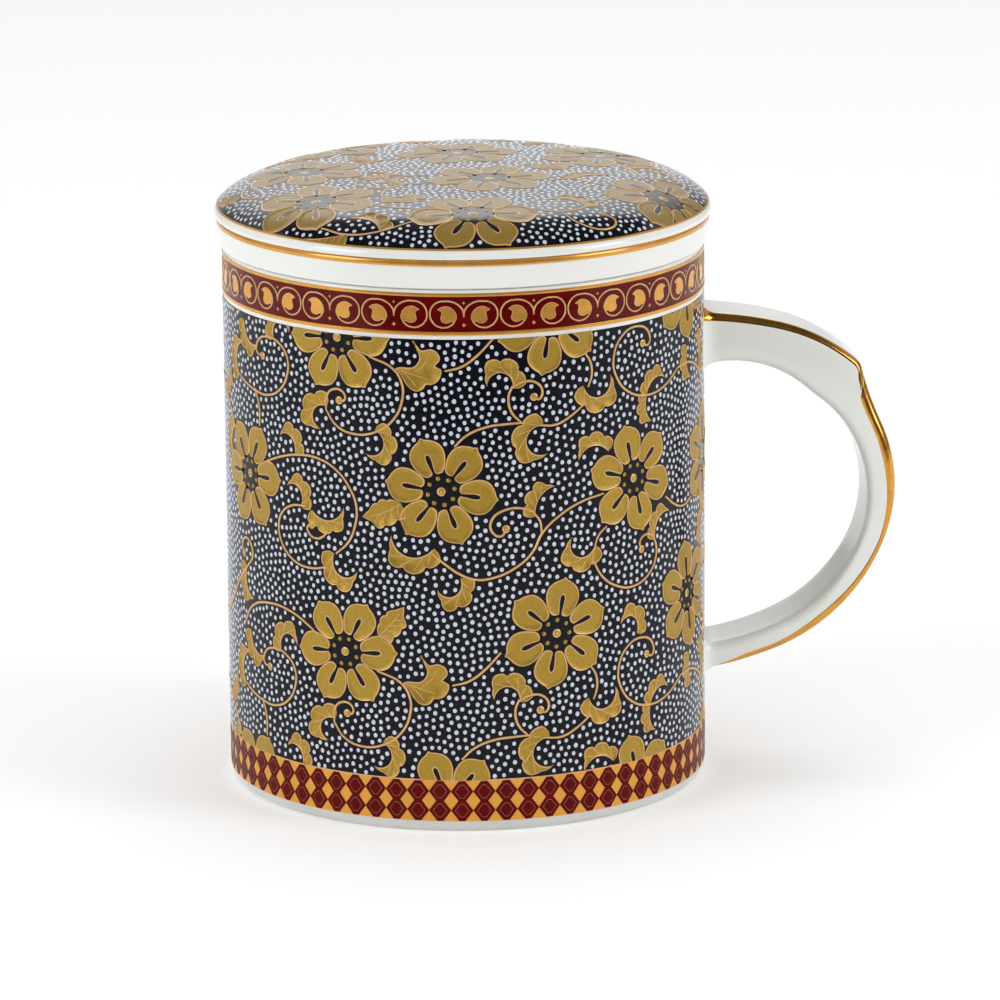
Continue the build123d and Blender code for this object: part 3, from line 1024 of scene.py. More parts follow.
def flat_motifs(design, where, clear):
    """All flowers, leaves and vines of one surface, flat; where yields each point set's places.

    The last result holds points inside the motifs that dots keep away from too.
    """
    bloom, spread, size = flower(), fan(), design["size"]
    relief = mm(prints().relief)
    flowers, leaves, strokes, buds, hearts = [], [], [], [], []
    for u, z, angle in design["flowers"]:
        for ((x, y),) in where([(u, z)], 10.0):
            if clear(x, y, FLOWER_CLEAR):
                turn = Matrix.Rotation(math.radians(angle), 4, "Z")
                grow = Matrix.Diagonal((size, size, 1, 1))
                flowers.append(copied(bloom, Matrix.Translation((x, y, 0)) @ (turn @ grow)))
                for k in np.linspace(0.0, 2 * math.pi, 13):
                    across, up = polar(HEART, k)
                    hearts.append((x + across, y + up))
    for u, z, angle in design["fans"]:
        for ((x, y),) in where([(u, z)], 4.0):
            if clear(x, y, FAN_CLEAR):
                turn = Matrix.Rotation(math.radians(angle), 4, "Z")
                place = Matrix.Translation((x, y, 0)) @ turn
                leaves.append(copied(spread, place))
                for part in (0.8, 0.55, 0.3):
                    for across, up in FAN:
                        across = FAN_MIDDLE[0] + part * (across - FAN_MIDDLE[0])
                        hearts.append(tuple(place @ Vector((across, part * up, 0)))[:2])
                for vein in FAN_VEINS:
                    spots = [tuple(place @ Vector((p[0], p[1], 0.6 * relief))) for p in vein]
                    strokes.append((spots, VEIN))
    bpy.data.objects.remove(bloom)
    bpy.data.objects.remove(spread)
    for spec in design["leaves"]:
        for spots in where([spec[0:2], spec[2:4], spec[4:6]]):
            if clear(*spots[1], LEAF_CLEAR):
                widths = [spec[6], spec[7] if len(spec) > 7 else CURLED]
                moved = [part for spot in spots for part in spot] + widths
                leaves.append(leaf(moved))
                strokes.extend((vein, VEIN) for vein in veins(moved))
    for run in design["vines"] + design["curls"]:
        for spots in where(run):
            if all(clear(*spot, VINE_CLEAR) for spot in spots):
                strokes.append((spots, 1.0))
                if run in design["curls"]:
                    buds.append(spots[-1])
    bud = gold_pair(domed_dot("bud", 0.74, 0.15, BUD_SIDES))
    for face in bud.data.polygons[BUD_SIDES:]:
        face.material_index = 1
    leaves += [copied(bud, Matrix.Translation((x, y, 0))) for x, y in buds]
    bpy.data.objects.remove(bud)
    vines = dress(drawn("vines", strokes, mm(prints().vine)), "outline_gold")
    return joined("flowers", flowers), joined("leaves", leaves), vines, np.array(hearts)


def samples(pieces):
    """Flat points that tell where motifs lie: their corners and the middles of their faces."""
    spots = []
    for piece in pieces:
        spots.append(points_of(piece)[:, :2])
        middles = np.empty(len(piece.data.polygons) * 3)
        piece.data.polygons.foreach_get("center", middles)
        spots.append(middles.reshape(-1, 3)[:, :2])
    return np.concatenate(spots)


def tree_of(spots):
    tree = KDTree(len(spots))
    for k, (x, y) in enumerate(spots):
        tree.insert((x, y, 0.0), k)
    tree.balance()
    return tree


SEAM = 4


def round_the_lap(spots, lap):
    """The same points and what lies just beyond the seam on either side."""
    if not lap:
        return spots
    spots = np.concatenate([spots + (shift, 0) for shift in (-lap, 0, lap)])
    return spots[(spots[:, 0] > -lap / 2 - SEAM) & (spots[:, 0] < lap / 2 + SEAM)]


# Dots are eased apart over this many rounds, each pushed by the neighbours within the reach
EASE_ROUNDS, EASE_REACH, EASE_STEP = 5, 1.5, 0.3
DOT_MARGIN = 0.9


def strewn(motifs, tries, clear, lap):
    """Places for dots: rows along the motifs' outlines, then the space between, eased apart."""
    tree = tree_of(round_the_lap(motifs, lap))
    apart, gap = mm(prints().dot_clear), mm(prints().dot_gap)
    kept = [(tree.find((x, y, 0.0))[2], x, y) for x, y in tries if clear(x, y, DOT_MARGIN)]
    kept = sorted(row for row in kept if row[0] > apart)
    cells, taken = {}, []
    beside = [(di, dj) for di in (-1, 0, 1) for dj in (-1, 0, 1)]
    for _, x, y in kept:
        i, j = math.floor(x / gap), math.floor(y / gap)
        around = [spot for di, dj in beside for spot in cells.get((i + di, j + dj), ())]
        if all((ox - x) ** 2 + (oy - y) ** 2 >= gap * gap for ox, oy in around):
            taken.append((x, y))
            cells.setdefault((i, j), []).append((x, y))
            if lap and abs(x) > lap / 2 - 2 * gap:
                wrapped = x - math.copysign(lap, x)
                cells.setdefault((math.floor(wrapped / gap), j), []).append((wrapped, y))
    low, high = tries[:, 1].min(), tries[:, 1].max()
    reach = EASE_REACH * gap
    for _ in range(EASE_ROUNDS):
        others = tree_of(round_the_lap(np.array(taken), lap))
        eased = []
        for x, y in taken:
            push = Vector((0.0, 0.0))
            for spot, _, far in others.find_range((x, y, 0.0), reach):
                if far > 1e-6:
                    push += Vector((x - spot.x, y - spot.y)) / far * (1 - far / reach)
            nx, ny = x + EASE_STEP * push.x, min(high, max(low, y + EASE_STEP * push.y))
            fits = tree.find((nx, ny, 0.0))[2] > apart and clear(nx, ny, DOT_MARGIN)
            eased.append((nx, ny) if fits else (x, y))
        taken = eased
    return taken


# One dot: its height, sides, the spread of sizes and how it is drawn out across and up
DOT_LIFT, DOT_SIDES, DOT_SPREAD, DOT_SHAPE = 0.1, 7, 0.05, (0.96, 1.06)


def beaded(name, spots, seed):
    """One enamel dot modelled once and repeated at every place, each a little different."""
    dot = domed_dot("dot", mm(prints().dot), DOT_LIFT, DOT_SIDES)
    shape = points_of(dot)
    faces = [tuple(face.vertices) for face in dot.data.polygons]
    bpy.data.objects.remove(dot)
    chance = np.random.default_rng(seed)
    size = chance.normal(1.0, DOT_SPREAD, len(spots))
    points, every = [], []
    for k, (x, y) in enumerate(spots):
        grow = (DOT_SHAPE[0] * size[k], DOT_SHAPE[1] * size[k], 1.0)
        points.append(shape * grow + (x, y, 0.0))
        every.extend(tuple(v + k * len(shape) for v in face) for face in faces)
    mesh = bpy.data.meshes.new(name)
    mesh.from_pydata(np.concatenate(points).tolist(), [], every)
    piece = bpy.data.objects.new(name, mesh)
    bpy.context.collection.objects.link(piece)
    return dress(piece, "enamel_dot")


def vine_print(prefix, design, where, clear, tries, lap, seed):
    """The flowers, leaves, vines and dots of one print, still flat, under their own names."""
    *motifs, hearts = flat_motifs(design, where, clear)
    near = np.concatenate([samples(motifs), hearts])
    if lap:
        near[:, 0] = (near[:, 0] + lap / 2) % lap - lap / 2
    dots = beaded(prefix + "_dots", strewn(near, tries, clear, lap), seed)
    for piece, kind in zip(motifs, ("flowers", "leaves", "vines")):
        named(piece, f"{prefix}_{kind}")
    return (*motifs, named(dots, prefix + "_dots"))


# Operators, one for each piece or group of like pieces


class MUG_OT_body(bpy.types.Operator):
    """Turn the mug's straight body with its standing ring"""

    bl_idname = "mug.body"
    bl_label = "Mug body"

    def execute(self, context):
        s = sizes()
        outer, inner, top = mm(s.radius), mm(s.radius - s.wall), mm(s.height)
        foot, ring = mm(s.foot_outer), mm(s.foot_outer - s.foot_width)
        recess, lip = mm(s.foot_recess), mm(s.rim_round)
        corners = [
            (0.0, recess, 0),
            (ring - 1.2, recess, 0.6),
            (ring, 0.0, 0.3),
            (foot, 0.0, 0.25),
            (outer - 0.28, mm(s.foot_round) * 0.45, 1.2),
            (outer, mm(s.foot_round), 1.0),
            (outer, top, lip),
            (inner, top, lip),
            (inner, mm(s.floor_top), mm(s.inside_corner)),
            (0.0, mm(s.floor_top), 0),
        ]
        piece = dress(turned("mug_body_glazed", rounded(corners)), "porcelain_glaze", "bare_foot")
        # Low faces round the standing ring take the darker porcelain: painted shade at the foot
        for face in piece.data.polygons:
            if face.center.z < mm(s.foot_round) + 0.2 and face.center.xy.length > ring - 1:
                face.material_index = 1
        placed(piece, "mug", "porcelain", "mug_body")
        return {"FINISHED"}


# The strap's outer and inner edges, as shares of its reach and its span
OUTER_EDGE = (
    (-0.046, 1.0), (0.38, 0.97), (0.802, 0.857), (0.826, 0.837), (0.934, 0.68), (0.962, 0.37),
    (0.352, 0.053), (-0.044, 0.0),
)
INNER_EDGE = (
    (-0.044, 0.85), (0.53, 0.785), (0.608, 0.752), (0.762, 0.664), (0.762, 0.3), (0.392, 0.131),
    (-0.046, 0.072),
)
OUTER_START = (1.0, -0.03)
INNER_START = (0.957, 0.289)
# Which arcs of the two edges face each other, and the sections over each stretch
STRETCHES = (
    ((0, 1), (0, 1), 30), ((2, 3), (2,), 18), ((4,), (3,), 16), ((5,), (4,), 30), ((6,), (5,), 18),
)


def tangent_arcs(points, start, steps=40):
    """Arcs through points in turn, each leaving in the direction in which the last arrived."""
    arcs, way = [], Vector(start).normalized()
    for here, there in zip(points, points[1:]):
        here, there = Vector(here), Vector(there)
        chord = there - here
        half = way.angle_signed(chord)
        arc = []
        for k in range(steps + 1):
            share = k / steps
            if abs(half) < 1e-6:
                arc.append(here + chord * share)
            else:
                radius = chord.length / (2 * math.sin(half))
                turn = 2 * half * share
                side = Vector((way.y, -way.x))
                ahead = here + way * radius * math.sin(turn)
                arc.append(ahead + side * radius * (1 - math.cos(turn)))
        arcs.append(arc)
        way = Matrix.Rotation(-2 * half, 2) @ way
    return arcs


def along(line, count):
    """Points evenly spaced along a line."""
    spots = np.array([tuple(p) for p in line])
    way = np.concatenate(([0.0], np.cumsum(np.hypot(*np.diff(spots, axis=0).T))))
    want = np.linspace(0, way[-1], count)
    return np.column_stack([np.interp(want, way, spots[:, i]) for i in (0, 1)])


def strap_sections():
    """Facing points of the strap's outer and inner edges from the upper root to the lower."""
    h, wall = bpy.context.scene.mug_handle, mm(sizes().radius)

    def edge(shares, start):
        spots = [(wall + x * mm(h.reach), mm(h.low) + z * mm(h.span)) for x, z in shares]
        return tangent_arcs(spots, start)

    outer, inner = edge(OUTER_EDGE, OUTER_START), edge(INNER_EDGE, INNER_START)
    rows = []
    for outs, ins, count in STRETCHES:
        first = along([p for a in outs for p in outer[a]], count + 1)
        second = along([p for a in ins for p in inner[a]], count + 1)
        skip = 1 if rows else 0
        rows.extend(zip(first[skip:], second[skip:]))
    return rows


def strap_half(row):
    """Half the strap's thickness at a section."""
    return (Vector(row[0]) - Vector(row[1])).length / 2


def strap_spot(row, out, across, lift):
    """A point of a strap section: out from its middle, across its width, lifted off its skin."""
    h, wall = bpy.context.scene.mug_handle, mm(sizes().radius)
    outer, inner = Vector(row[0]), Vector(row[1])
    middle, way = (outer + inner) / 2, (outer - inner).normalized()
    half, wide, corner = strap_half(row), mm(h.width) / 2, mm(h.corner)
    core_out = max(-half + corner, min(half - corner, out))
    core_across = max(-wide + corner, min(wide - corner, across))
    normal = Vector((out - core_out, across - core_across))
    normal = normal.normalized() if normal.length > 1e-9 else Vector((0.0, 0.0))
    plain = middle + way * out
    gap = math.hypot(plain.x, across) - wall
    near = max(0.0, min(1.4, 1 - gap / mm(h.flare_run)))
    grow = mm(h.flare) * near**2.2 + lift
    spot = middle + way * (out + normal.x * grow)
    return (spot.x, across + normal.y * grow, spot.y)


CORNER_STEPS = 5


def strap_ring(row):
    """The rounded outline of a strap section, as (out, across) pairs."""
    h = bpy.context.scene.mug_handle
    half, wide, corner = strap_half(row), mm(h.width) / 2, mm(h.corner)
    signs = ((1, 1), (-1, 1), (-1, -1), (1, -1))

    def corner_spot(sign, turn):
        out, across = polar(corner, turn)
        return sign[0] * (half - corner) + out, sign[1] * (wide - corner) + across

    ring = []
    for quarter, sign in enumerate(signs):
        for k in range(CORNER_STEPS + 1):
            ring.append(corner_spot(sign, math.pi / 2 * (quarter + k / CORNER_STEPS)))
        begin = ring[-1]
        end = corner_spot(signs[(quarter + 1) % 4], math.pi / 2 * (quarter + 1))
        for k in (1, 2, 3):
            ring.append(tuple(begin[i] + (end[i] - begin[i]) * k / 4 for i in (0, 1)))
    return ring


class MUG_OT_handle(bpy.types.Operator):
    """Loft the strap handle along its two edges, with roots that flare into the wall"""

    bl_idname = "mug.handle"
    bl_label = "Handle"

    def execute(self, context):
        rows = strap_sections()
        rings = [strap_ring(row) for row in rows]
        piece = sheet("mug_handle_strap", len(rings[0]), len(rows) - 1)
        points = []
        for row, ring in zip(rows, rings):
            points.extend(strap_spot(row, out, across, 0.0) for out, across in ring + ring[:1])
        set_points(piece, points)
        edit(piece)
        bpy.ops.mesh.remove_doubles(threshold=DOUBLES)
        bpy.ops.mesh.select_all(action="DESELECT")
        bpy.ops.mesh.select_non_manifold(
            extend=False,
            use_wire=False,
            use_multi_face=False,
            use_non_contiguous=False,
            use_verts=False,
        )
        bpy.ops.mesh.fill()
        done()
        tidy(piece)
        smooth(piece, 40)
        dress(piece, "porcelain_glaze")
        placed(piece, "mug", "porcelain", "mug_handle")
        return {"FINISHED"}


# First and last sections of the upper and the lower gold stripe
UPPER_STRIPE, LOWER_STRIPE = (1, 37), (33, 107)
STRIPE_STEPS = 7
STRIPE_LIFT, STRIPE_SUNK = 0.06, 0.03
# On the near side the stripes start a little down the strap's flank
NEAR_SIDE_LOW = 0.55


def upper_stripe(k):
    """Where the upper stripe's edges lie round the strap's corner at a section."""
    tail = max(0.0, (k - 32) / 5)
    return 1.7 * tail**1.2, 2.15 - 0.012 * k + 0.9 * tail


def lower_stripe(k):
    """Where the lower stripe's edges lie round the strap's corner at a section."""
    first, last = LOWER_STRIPE
    share = (k - first) / (last - first)
    return 0.0, (0.6 + 2.2 * min(1.0, (k - first) / 6)) * (1 - 0.28 * share**2)


class MUG_OT_handle_stripes(bpy.types.Operator):
    """Lay a gold stripe on each outer corner of the strap, broken at the spur"""

    bl_idname = "mug.handle_stripes"
    bl_label = "Handle stripes"

    def execute(self, context):
        rows = strap_sections()
        strips = []
        for ends, edges in ((UPPER_STRIPE, upper_stripe), (LOWER_STRIPE, lower_stripe)):
            for side in (1, -1):
                strip = sheet("stripe", STRIPE_STEPS, ends[1] - ends[0])
                points = []
                for k in range(ends[0], ends[1] + 1):
                    points.extend(self.section(rows[k], k, ends, edges(k), side))
                set_points(strip, points)
                strips.append(strip)
        piece = joined("handle_stripes", strips)
        tidy(piece, 0.0001)
        smooth(piece, 60)
        dress(piece, "handle_gold")
        placed(piece, "mug", "gilding", "handle_gilding")
        return {"FINISHED"}

    @staticmethod
    def section(row, k, ends, edges, side):
        """The points across a stripe at one section, drawn in towards the stripe's ends."""
        h = bpy.context.scene.mug_handle
        corner, wide = mm(h.corner), mm(h.width) / 2
        half = strap_half(row)
        low, high = edges
        if side > 0:
            low = max(low, NEAR_SIDE_LOW)
        ease = min(1.0, (ends[1] - k + 0.15) / 2.5)
        if ends == LOWER_STRIPE:
            ease = min(ease, (k - ends[0] + 0.15) / 2.5, (ends[1] - k + 0.15) / 6)
        middle = (low + high) / 2
        for j in range(STRIPE_STEPS + 1):
            way = middle + (high - low) * (j / STRIPE_STEPS - 0.5) * ease
            turn = min(way / corner, math.pi / 2)
            down = max(0.0, way - corner * math.pi / 2)
            out = half - corner + corner * math.cos(turn) - down
            across = wide - corner + corner * math.sin(turn)
            lift = -STRIPE_SUNK if j in (0, STRIPE_STEPS) else STRIPE_LIFT
            yield strap_spot(row, out, side * across, lift)


# How far a sleeve or a print's ground reaches into what carries it
INSET = 0.06


def band(name, radius, low, high, thick, rounding=0.0):
    """A thin sleeve round the mug's axis, its inner face sunk a little into what carries it."""
    corners = [
        (radius - INSET, low, 0),
        (radius + thick, low, rounding),
        (radius + thick, high, rounding),
        (radius - INSET, high, 0),
    ]
    return turned(name, rounded(corners, 4))


# Gold lines: how far each starts above its node's lower edge, its height, thickness and rounding
RIM_LINE = (0.22, 0.58, 0.14, 0.06)
BORDER_LINE_TALL = 0.62
BORDER_LINE = (0.0, BORDER_LINE_TALL, 0.2, 0.08)
COLLAR_LINE_UP, COLLAR_LIP = 0.23, 0.4
LID_LINE_ANGLE, LID_LINE_THICK = 16.2, 0.1


class MUG_OT_gold_lines(bpy.types.Operator):
    """Turn the bright gold lines on the mug's rim, the infuser's collar and the lid's edge"""

    bl_idname = "mug.gold_lines"
    bl_label = "Gold lines"

    def execute(self, context):
        s = sizes()
        piece = self.wall_line("rim_line", "mug_rim_gilding", *RIM_LINE)
        placed(piece, "mug", "gilding", "mug_rim_gilding")
        piece = self.wall_line("border_line", "upper_border_decal", *BORDER_LINE)
        placed(piece, "mug", "gilding")
        collar, top, lip = mm(s.collar_radius), mm(s.collar_top), COLLAR_LIP
        low = node_low("infuser_rim_gilding") + COLLAR_LINE_UP
        line = [
            (collar - 0.05, low),
            (collar + 0.1, low),
            (collar + 0.13, low + 0.08),
            (collar + 0.13, top - lip),
        ]

        def over_lip(turn, wide, tall):
            out, up = (lip + wide) * math.cos(turn), (lip + tall) * math.sin(turn)
            return collar - lip + out, top - lip + up

        for k in range(1, 5):
            turn = math.radians(15 * k)
            line.append(over_lip(turn, 0.1, 0.03))
        line.append(over_lip(turn, -INSET, -INSET))
        line.append((collar - 0.05, top - lip))
        piece = dress(turned("collar_line", line), "fired_gold")
        placed(piece, "infuser", "gilding", "infuser_rim_gilding")
        over = dome_profile(LID_LINE_THICK, LID_LINE_ANGLE, 60)[:3]
        under = dome_profile(-INSET, LID_LINE_ANGLE, 60)[:3]
        piece = dress(turned("lid_line", over + under[::-1]), "fired_gold")
        placed(piece, "lid", "gilding", "lid_edge_gilding")
        return {"FINISHED"}

    @staticmethod
    def wall_line(name, node, up, tall, thick, rounding):
        low = node_low(node) + up
        piece = band(name, mm(sizes().radius), low, low + tall, thick, rounding)
        return dress(piece, "fired_gold")


class MUG_OT_infuser(bpy.types.Operator):
    """Turn the infuser basket with its collar and drill its strainer holes"""

    bl_idname = "mug.infuser"
    bl_label = "Infuser"

    def execute(self, context):
        s = sizes()
        top, seat, low = mm(s.collar_top), mm(s.height), mm(s.basket_low)
        neck, thick = mm(s.neck), mm(s.basket_wall)
        base, knee = mm(s.neck - s.basket_taper), mm(s.height - s.neck_length)
        floor = low + mm(s.basket_floor)
        collar, collar_low = mm(s.collar_radius), mm(s.collar_low)
        corners = [
            (0.0, low, 0),
            (base, low, 5.0),
            (neck, knee, 6.0),
            (neck, seat, 0.25),
            (collar_low - 1.0, seat, 0.1),
            (collar_low, seat + 0.4, 0.2),
            (collar - 0.12, (seat + top) / 2, 8.0),
            (collar, top - 1.3, 0.8),
            (collar, top, 0.4),
            (neck - thick, top, 0.7),
            (neck - thick, knee, 6.0),
            (base - thick, floor, 3.4),
            (0.0, floor, 0),
        ]
        piece = turned("infuser_cup", rounded(corners), 160)
        fresh()
        through = mm(s.basket_floor) + 3
        bpy.ops.mesh.primitive_cylinder_add(vertices=20, radius=mm(s.hole) / 2, depth=through)
        drill = bpy.context.object
        level = (low + floor) / 2
        drills = [copied(drill, Matrix.Translation((0, 0, level)))]
        for ring in (1, 2, 3):
            spot = Matrix.Translation((ring * mm(s.ring_pitch), 0, level))
            for k in range(6 * ring):
                turn = Matrix.Rotation(2 * math.pi * k / (6 * ring), 4, "Z")
                drills.append(copied(drill, turn @ spot))
        lying = Matrix.Rotation(math.pi / 2, 4, "Y")
        for row in (0, 1, 2):
            height = low + mm(s.row_start) + row * mm(s.row_pitch)
            spot = Matrix.Translation((base - thick / 2 + 0.4, 0, height))
            for k in range(s.row_holes):
                turn = Matrix.Rotation(2 * math.pi * (k + row % 2 / 2) / s.row_holes, 4, "Z")
                drills.append(copied(drill, turn @ spot @ lying))
        bpy.data.objects.remove(drill)
        hollowed(piece, joined("drills", drills))
        smooth(piece, 35)
        dress(piece, "porcelain_glaze")
        placed(piece, "infuser", "porcelain", "infuser_basket")
        return {"FINISHED"}


class MUG_OT_lid(bpy.types.Operator):
    """Turn the domed lid with the flange that drops into the infuser"""

    bl_idname = "mug.lid"
    bl_label = "Lid"

    def execute(self, context):
        s = sizes()
        seat, flange = mm(s.collar_top), mm(s.flange_radius)
        inner, low = flange - mm(s.flange_wall), mm(s.flange_low)
        line = dome_profile()
        (out, up), apex = line[0], line[-1][1]
        rim = [
            (out + 0.03, up - 0.35),
            (out - 0.03, up - 0.75),
            (out - 0.2, seat + 0.1),
            (out - 0.55, seat),
        ]
        corners = [
            (flange, seat, 0.4),
            (flange, low, 1.0),
            (inner, low, 1.0),
            (inner, seat + 2.7, 1.6),
            (0.0, apex - mm(s.lid_thickness), 0),
        ]
        below = [p for p in rounded(corners) if p[0] <= flange + 1e-6]
        profile = line[::-1] + rim + below
        piece = dress(turned("lid_dome", profile), "porcelain_glaze")
        placed(piece, "lid", "porcelain", "lid_disc")
        return {"FINISHED"}


# How far the wrap's ground reaches past its node below, and stops short of it above
WRAP_BELOW, WRAP_SHORT = 0.75, 0.2
WALL_TRIES, LID_TRIES = 90000, 30000
ROOT_CORNER = 1.6


class MUG_OT_wrap(bpy.types.Operator):
    """Print the dotted ground, flowers, leaves and vines round the mug's wall"""

    bl_idname = "mug.wrap"
    bl_label = "Vine print"

    def execute(self, context):
        p = prints()
        wall, skin = mm(sizes().radius), mm(p.ground)
        low = node_low("pattern_wrap_decal") - WRAP_BELOW
        high = node_top("pattern_wrap_decal") - WRAP_SHORT
        ground = band("wrap_ground", wall, low, high, skin)
        for bottom, top in ROOTS:
            corners = ((-1, bottom), (1, bottom), (1, top), (-1, top))
            block = rounded([(side * ROOT_HALF, z, ROOT_CORNER) for side, z in corners])
            cutter = outlined("root_block", [(wall - 4, y, z) for y, z in block])
            edit(cutter)
            bpy.ops.mesh.extrude_region_move(TRANSFORM_OT_translate={"value": (8.0, 0.0, 0.0)})
            done()
            tidy(cutter)
            hollowed(ground, cutter)
        smooth(ground, 40)
        dress(ground, "print_ground")
        placed(ground, "mug", "vine_print", "pattern_wrap_decal")

        def clear(u, z, margin):
            return not at_roots(u, z, margin)

        chance = np.random.default_rng(p.seed)
        across = chance.uniform(-LAP / 2, LAP / 2, WALL_TRIES)
        tries = np.column_stack((across, chance.uniform(low + 0.5, high - 0.5, WALL_TRIES)))
        pieces = vine_print("wrap", WALL_DESIGN, laid_out, clear, tries, LAP, p.seed)
        _, _, vines, dots = pieces
        for piece in pieces:
            onto_wall(piece, wall + skin)
            if piece is not dots:
                cut(piece, (0, 0, high), (0, 0, 1), piece is vines)
                cut(piece, (0, 0, low), (0, 0, -1), piece is vines)
            smooth(piece, 50)
            placed(piece, "mug", "vine_print")
        return {"FINISHED"}


LID_SKIN, LID_RELIEF = 0.02, 0.6
LID_PRINT_ANGLE = 18.2
LID_CUTS = 48


class MUG_OT_lid_print(bpy.types.Operator):
    """Print the same dotted vine pattern on the lid's dome"""

    bl_idname = "mug.lid_print"
    bl_label = "Lid print"

    def execute(self, context):
        seed = prints().seed + 1
        over = dome_profile(LID_SKIN, LID_PRINT_ANGLE, 40)
        under = dome_profile(-INSET, LID_PRINT_ANGLE, 40)
        ground = dress(turned("lid_ground", over + under[::-1]), "lid_print_ground")
        placed(ground, "lid", "vine_print", "lid_decal")
        way, radius, _, _, _ = lid_path()
        edge = float(np.interp(over[0][0], radius, way)) - 0.1

        def clear(x, y, margin):
            """Motifs may run over the edge, where they are cut, and dots stay inside it."""
            past = 9.0 if margin > 1 else 6.0 if margin < 0.5 else -0.6
            return math.hypot(x, y) < edge + past

        def where(points, reach=0.0):
            yield list(points)

        tries = np.random.default_rng(seed).uniform(-edge, edge, (LID_TRIES, 2))
        pieces = vine_print("lid", LID_DESIGN, where, clear, tries, 0.0, seed)
        for piece in pieces:
            if piece is not pieces[-1]:
                for k in range(LID_CUTS):
                    out = polar(1.0, 2 * math.pi * k / LID_CUTS) + (0,)
                    cut(piece, (edge * out[0], edge * out[1], 0), out, False)
            spots = points_of(piece)
            spots[:, 2] = LID_SKIN + LID_RELIEF * spots[:, 2]
            set_points(piece, spots)
            onto_lid(piece)
            # Clear-coated copies of the finishes; the lid's gold copies are darkened as painted
            # shade
            for i, material in enumerate(piece.data.materials):
                piece.data.materials[i] = coated(material)
            smooth(piece, 50)
            placed(piece, "lid", "vine_print")
        return {"FINISHED"}


# The drop inside a scroll, from the scroll's middle, with its point turned outwards
DROP = (
    (1.02, 0.75), (0.66, 1.08), (0.15, 1.34), (-0.5, 1.42), (-1.25, 1.2), (-1.85, 0.68),
    (-2.2, 0.0), (-2.24, -0.66), (-2.0, -1.15), (-1.62, -1.3), (-1.31, -1.22), (-0.95, -1.45),
    (-0.39, -1.53), (0.19, -1.32), (0.51, -0.86), (0.44, -0.33), (0.32, 0.15), (0.48, 0.56),
)


# The upper border: its units and where the first stands, a scroll's radius, eye and wire, its stars
SCROLL_UNITS, SCROLL_START = 22, -3.4
SCROLL_RING, SCROLL_EYE, SCROLL_WIRE = 2.27, 3.43, 0.145
SCROLL_STEM = ((0.0, -0.45), (0.07, 0.4), (0.45, 1.15), (1.2, 1.8), (2.2, 2.2))
STARS = ((1.95, 0.34), (-1.83, 0.43))


class MUG_OT_upper_border(bpy.types.Operator):
    """Print the red border with its mirrored gold scrolls below the rim"""

    bl_idname = "mug.upper_border"
    bl_label = "Upper border"

    def execute(self, context):
        wall, skin = mm(sizes().radius), mm(prints().ground)
        low, high = node_low("upper_border_decal"), node_top("upper_border_decal")
        ground = dress(band("upper_border_ground", wall, low, high + 0.25, skin), "border_red")
        placed(ground, "mug", "scroll_print", "upper_border_decal")
        middle = (low + BORDER_LINE_TALL + high + 0.2) / 2
        pitch = LAP / SCROLL_UNITS
        golds = ("outline_gold", "fired_gold")
        scroll = list(SCROLL_STEM)
        for k in range(9):
            out, up = polar(SCROLL_RING, math.radians(97 - k * 32.5))
            scroll.append((SCROLL_EYE + out, up))
        strokes = [([(side * u, z) for u, z in scroll], 1.0) for side in (1, -1)]
        parts = [dress(drawn("scroll", strokes, SCROLL_WIRE), *golds)]
        drop = sunk([(SCROLL_EYE + u, z) for u, z in smoothed(DROP)])
        piece = dress(outlined("drop", drop), *golds)
        pad(piece, (SCROLL_EYE, 0.0), (0.03, 0.17), (0.09, 0.0), 1)
        parts += [piece, copied(piece, Matrix.Scale(-1, 4, (1, 0, 0)))]
        for z, reach in STARS:
            star = []
            for k in range(8):
                out, up = polar(reach if k % 2 == 0 else reach * 0.5, math.pi * k / 4)
                star.append((out, z + up))
            piece = dress(outlined("star", sunk(star)), *golds)
            edit(piece)
            bpy.ops.mesh.inset(thickness=0.07, depth=0.14)
            done()
            parts.append(piece)
        unit = joined("unit", parts)
        places = [(pitch * k + SCROLL_START, middle, 0) for k in range(SCROLL_UNITS)]
        row = [copied(unit, Matrix.Translation(place)) for place in places]
        bpy.data.objects.remove(unit)
        piece = joined("upper_border_scrolls", row)
        onto_wall(piece, wall + skin)
        smooth(piece, 50)
        placed(piece, "mug", "scroll_print")
        return {"FINISHED"}


# The lower border: its units and where the first stands, how far each row lies from the middle,
# a lozenge's half height, and the half widths of its flat ends and of its side points
LOZENGE_UNITS, LOZENGE_START, ROW_APART = 69, -0.7, 1.68
LOZENGE_TALL, LOZENGE_NECK, LOZENGE_TIP = 1.9, 0.52, 0.07


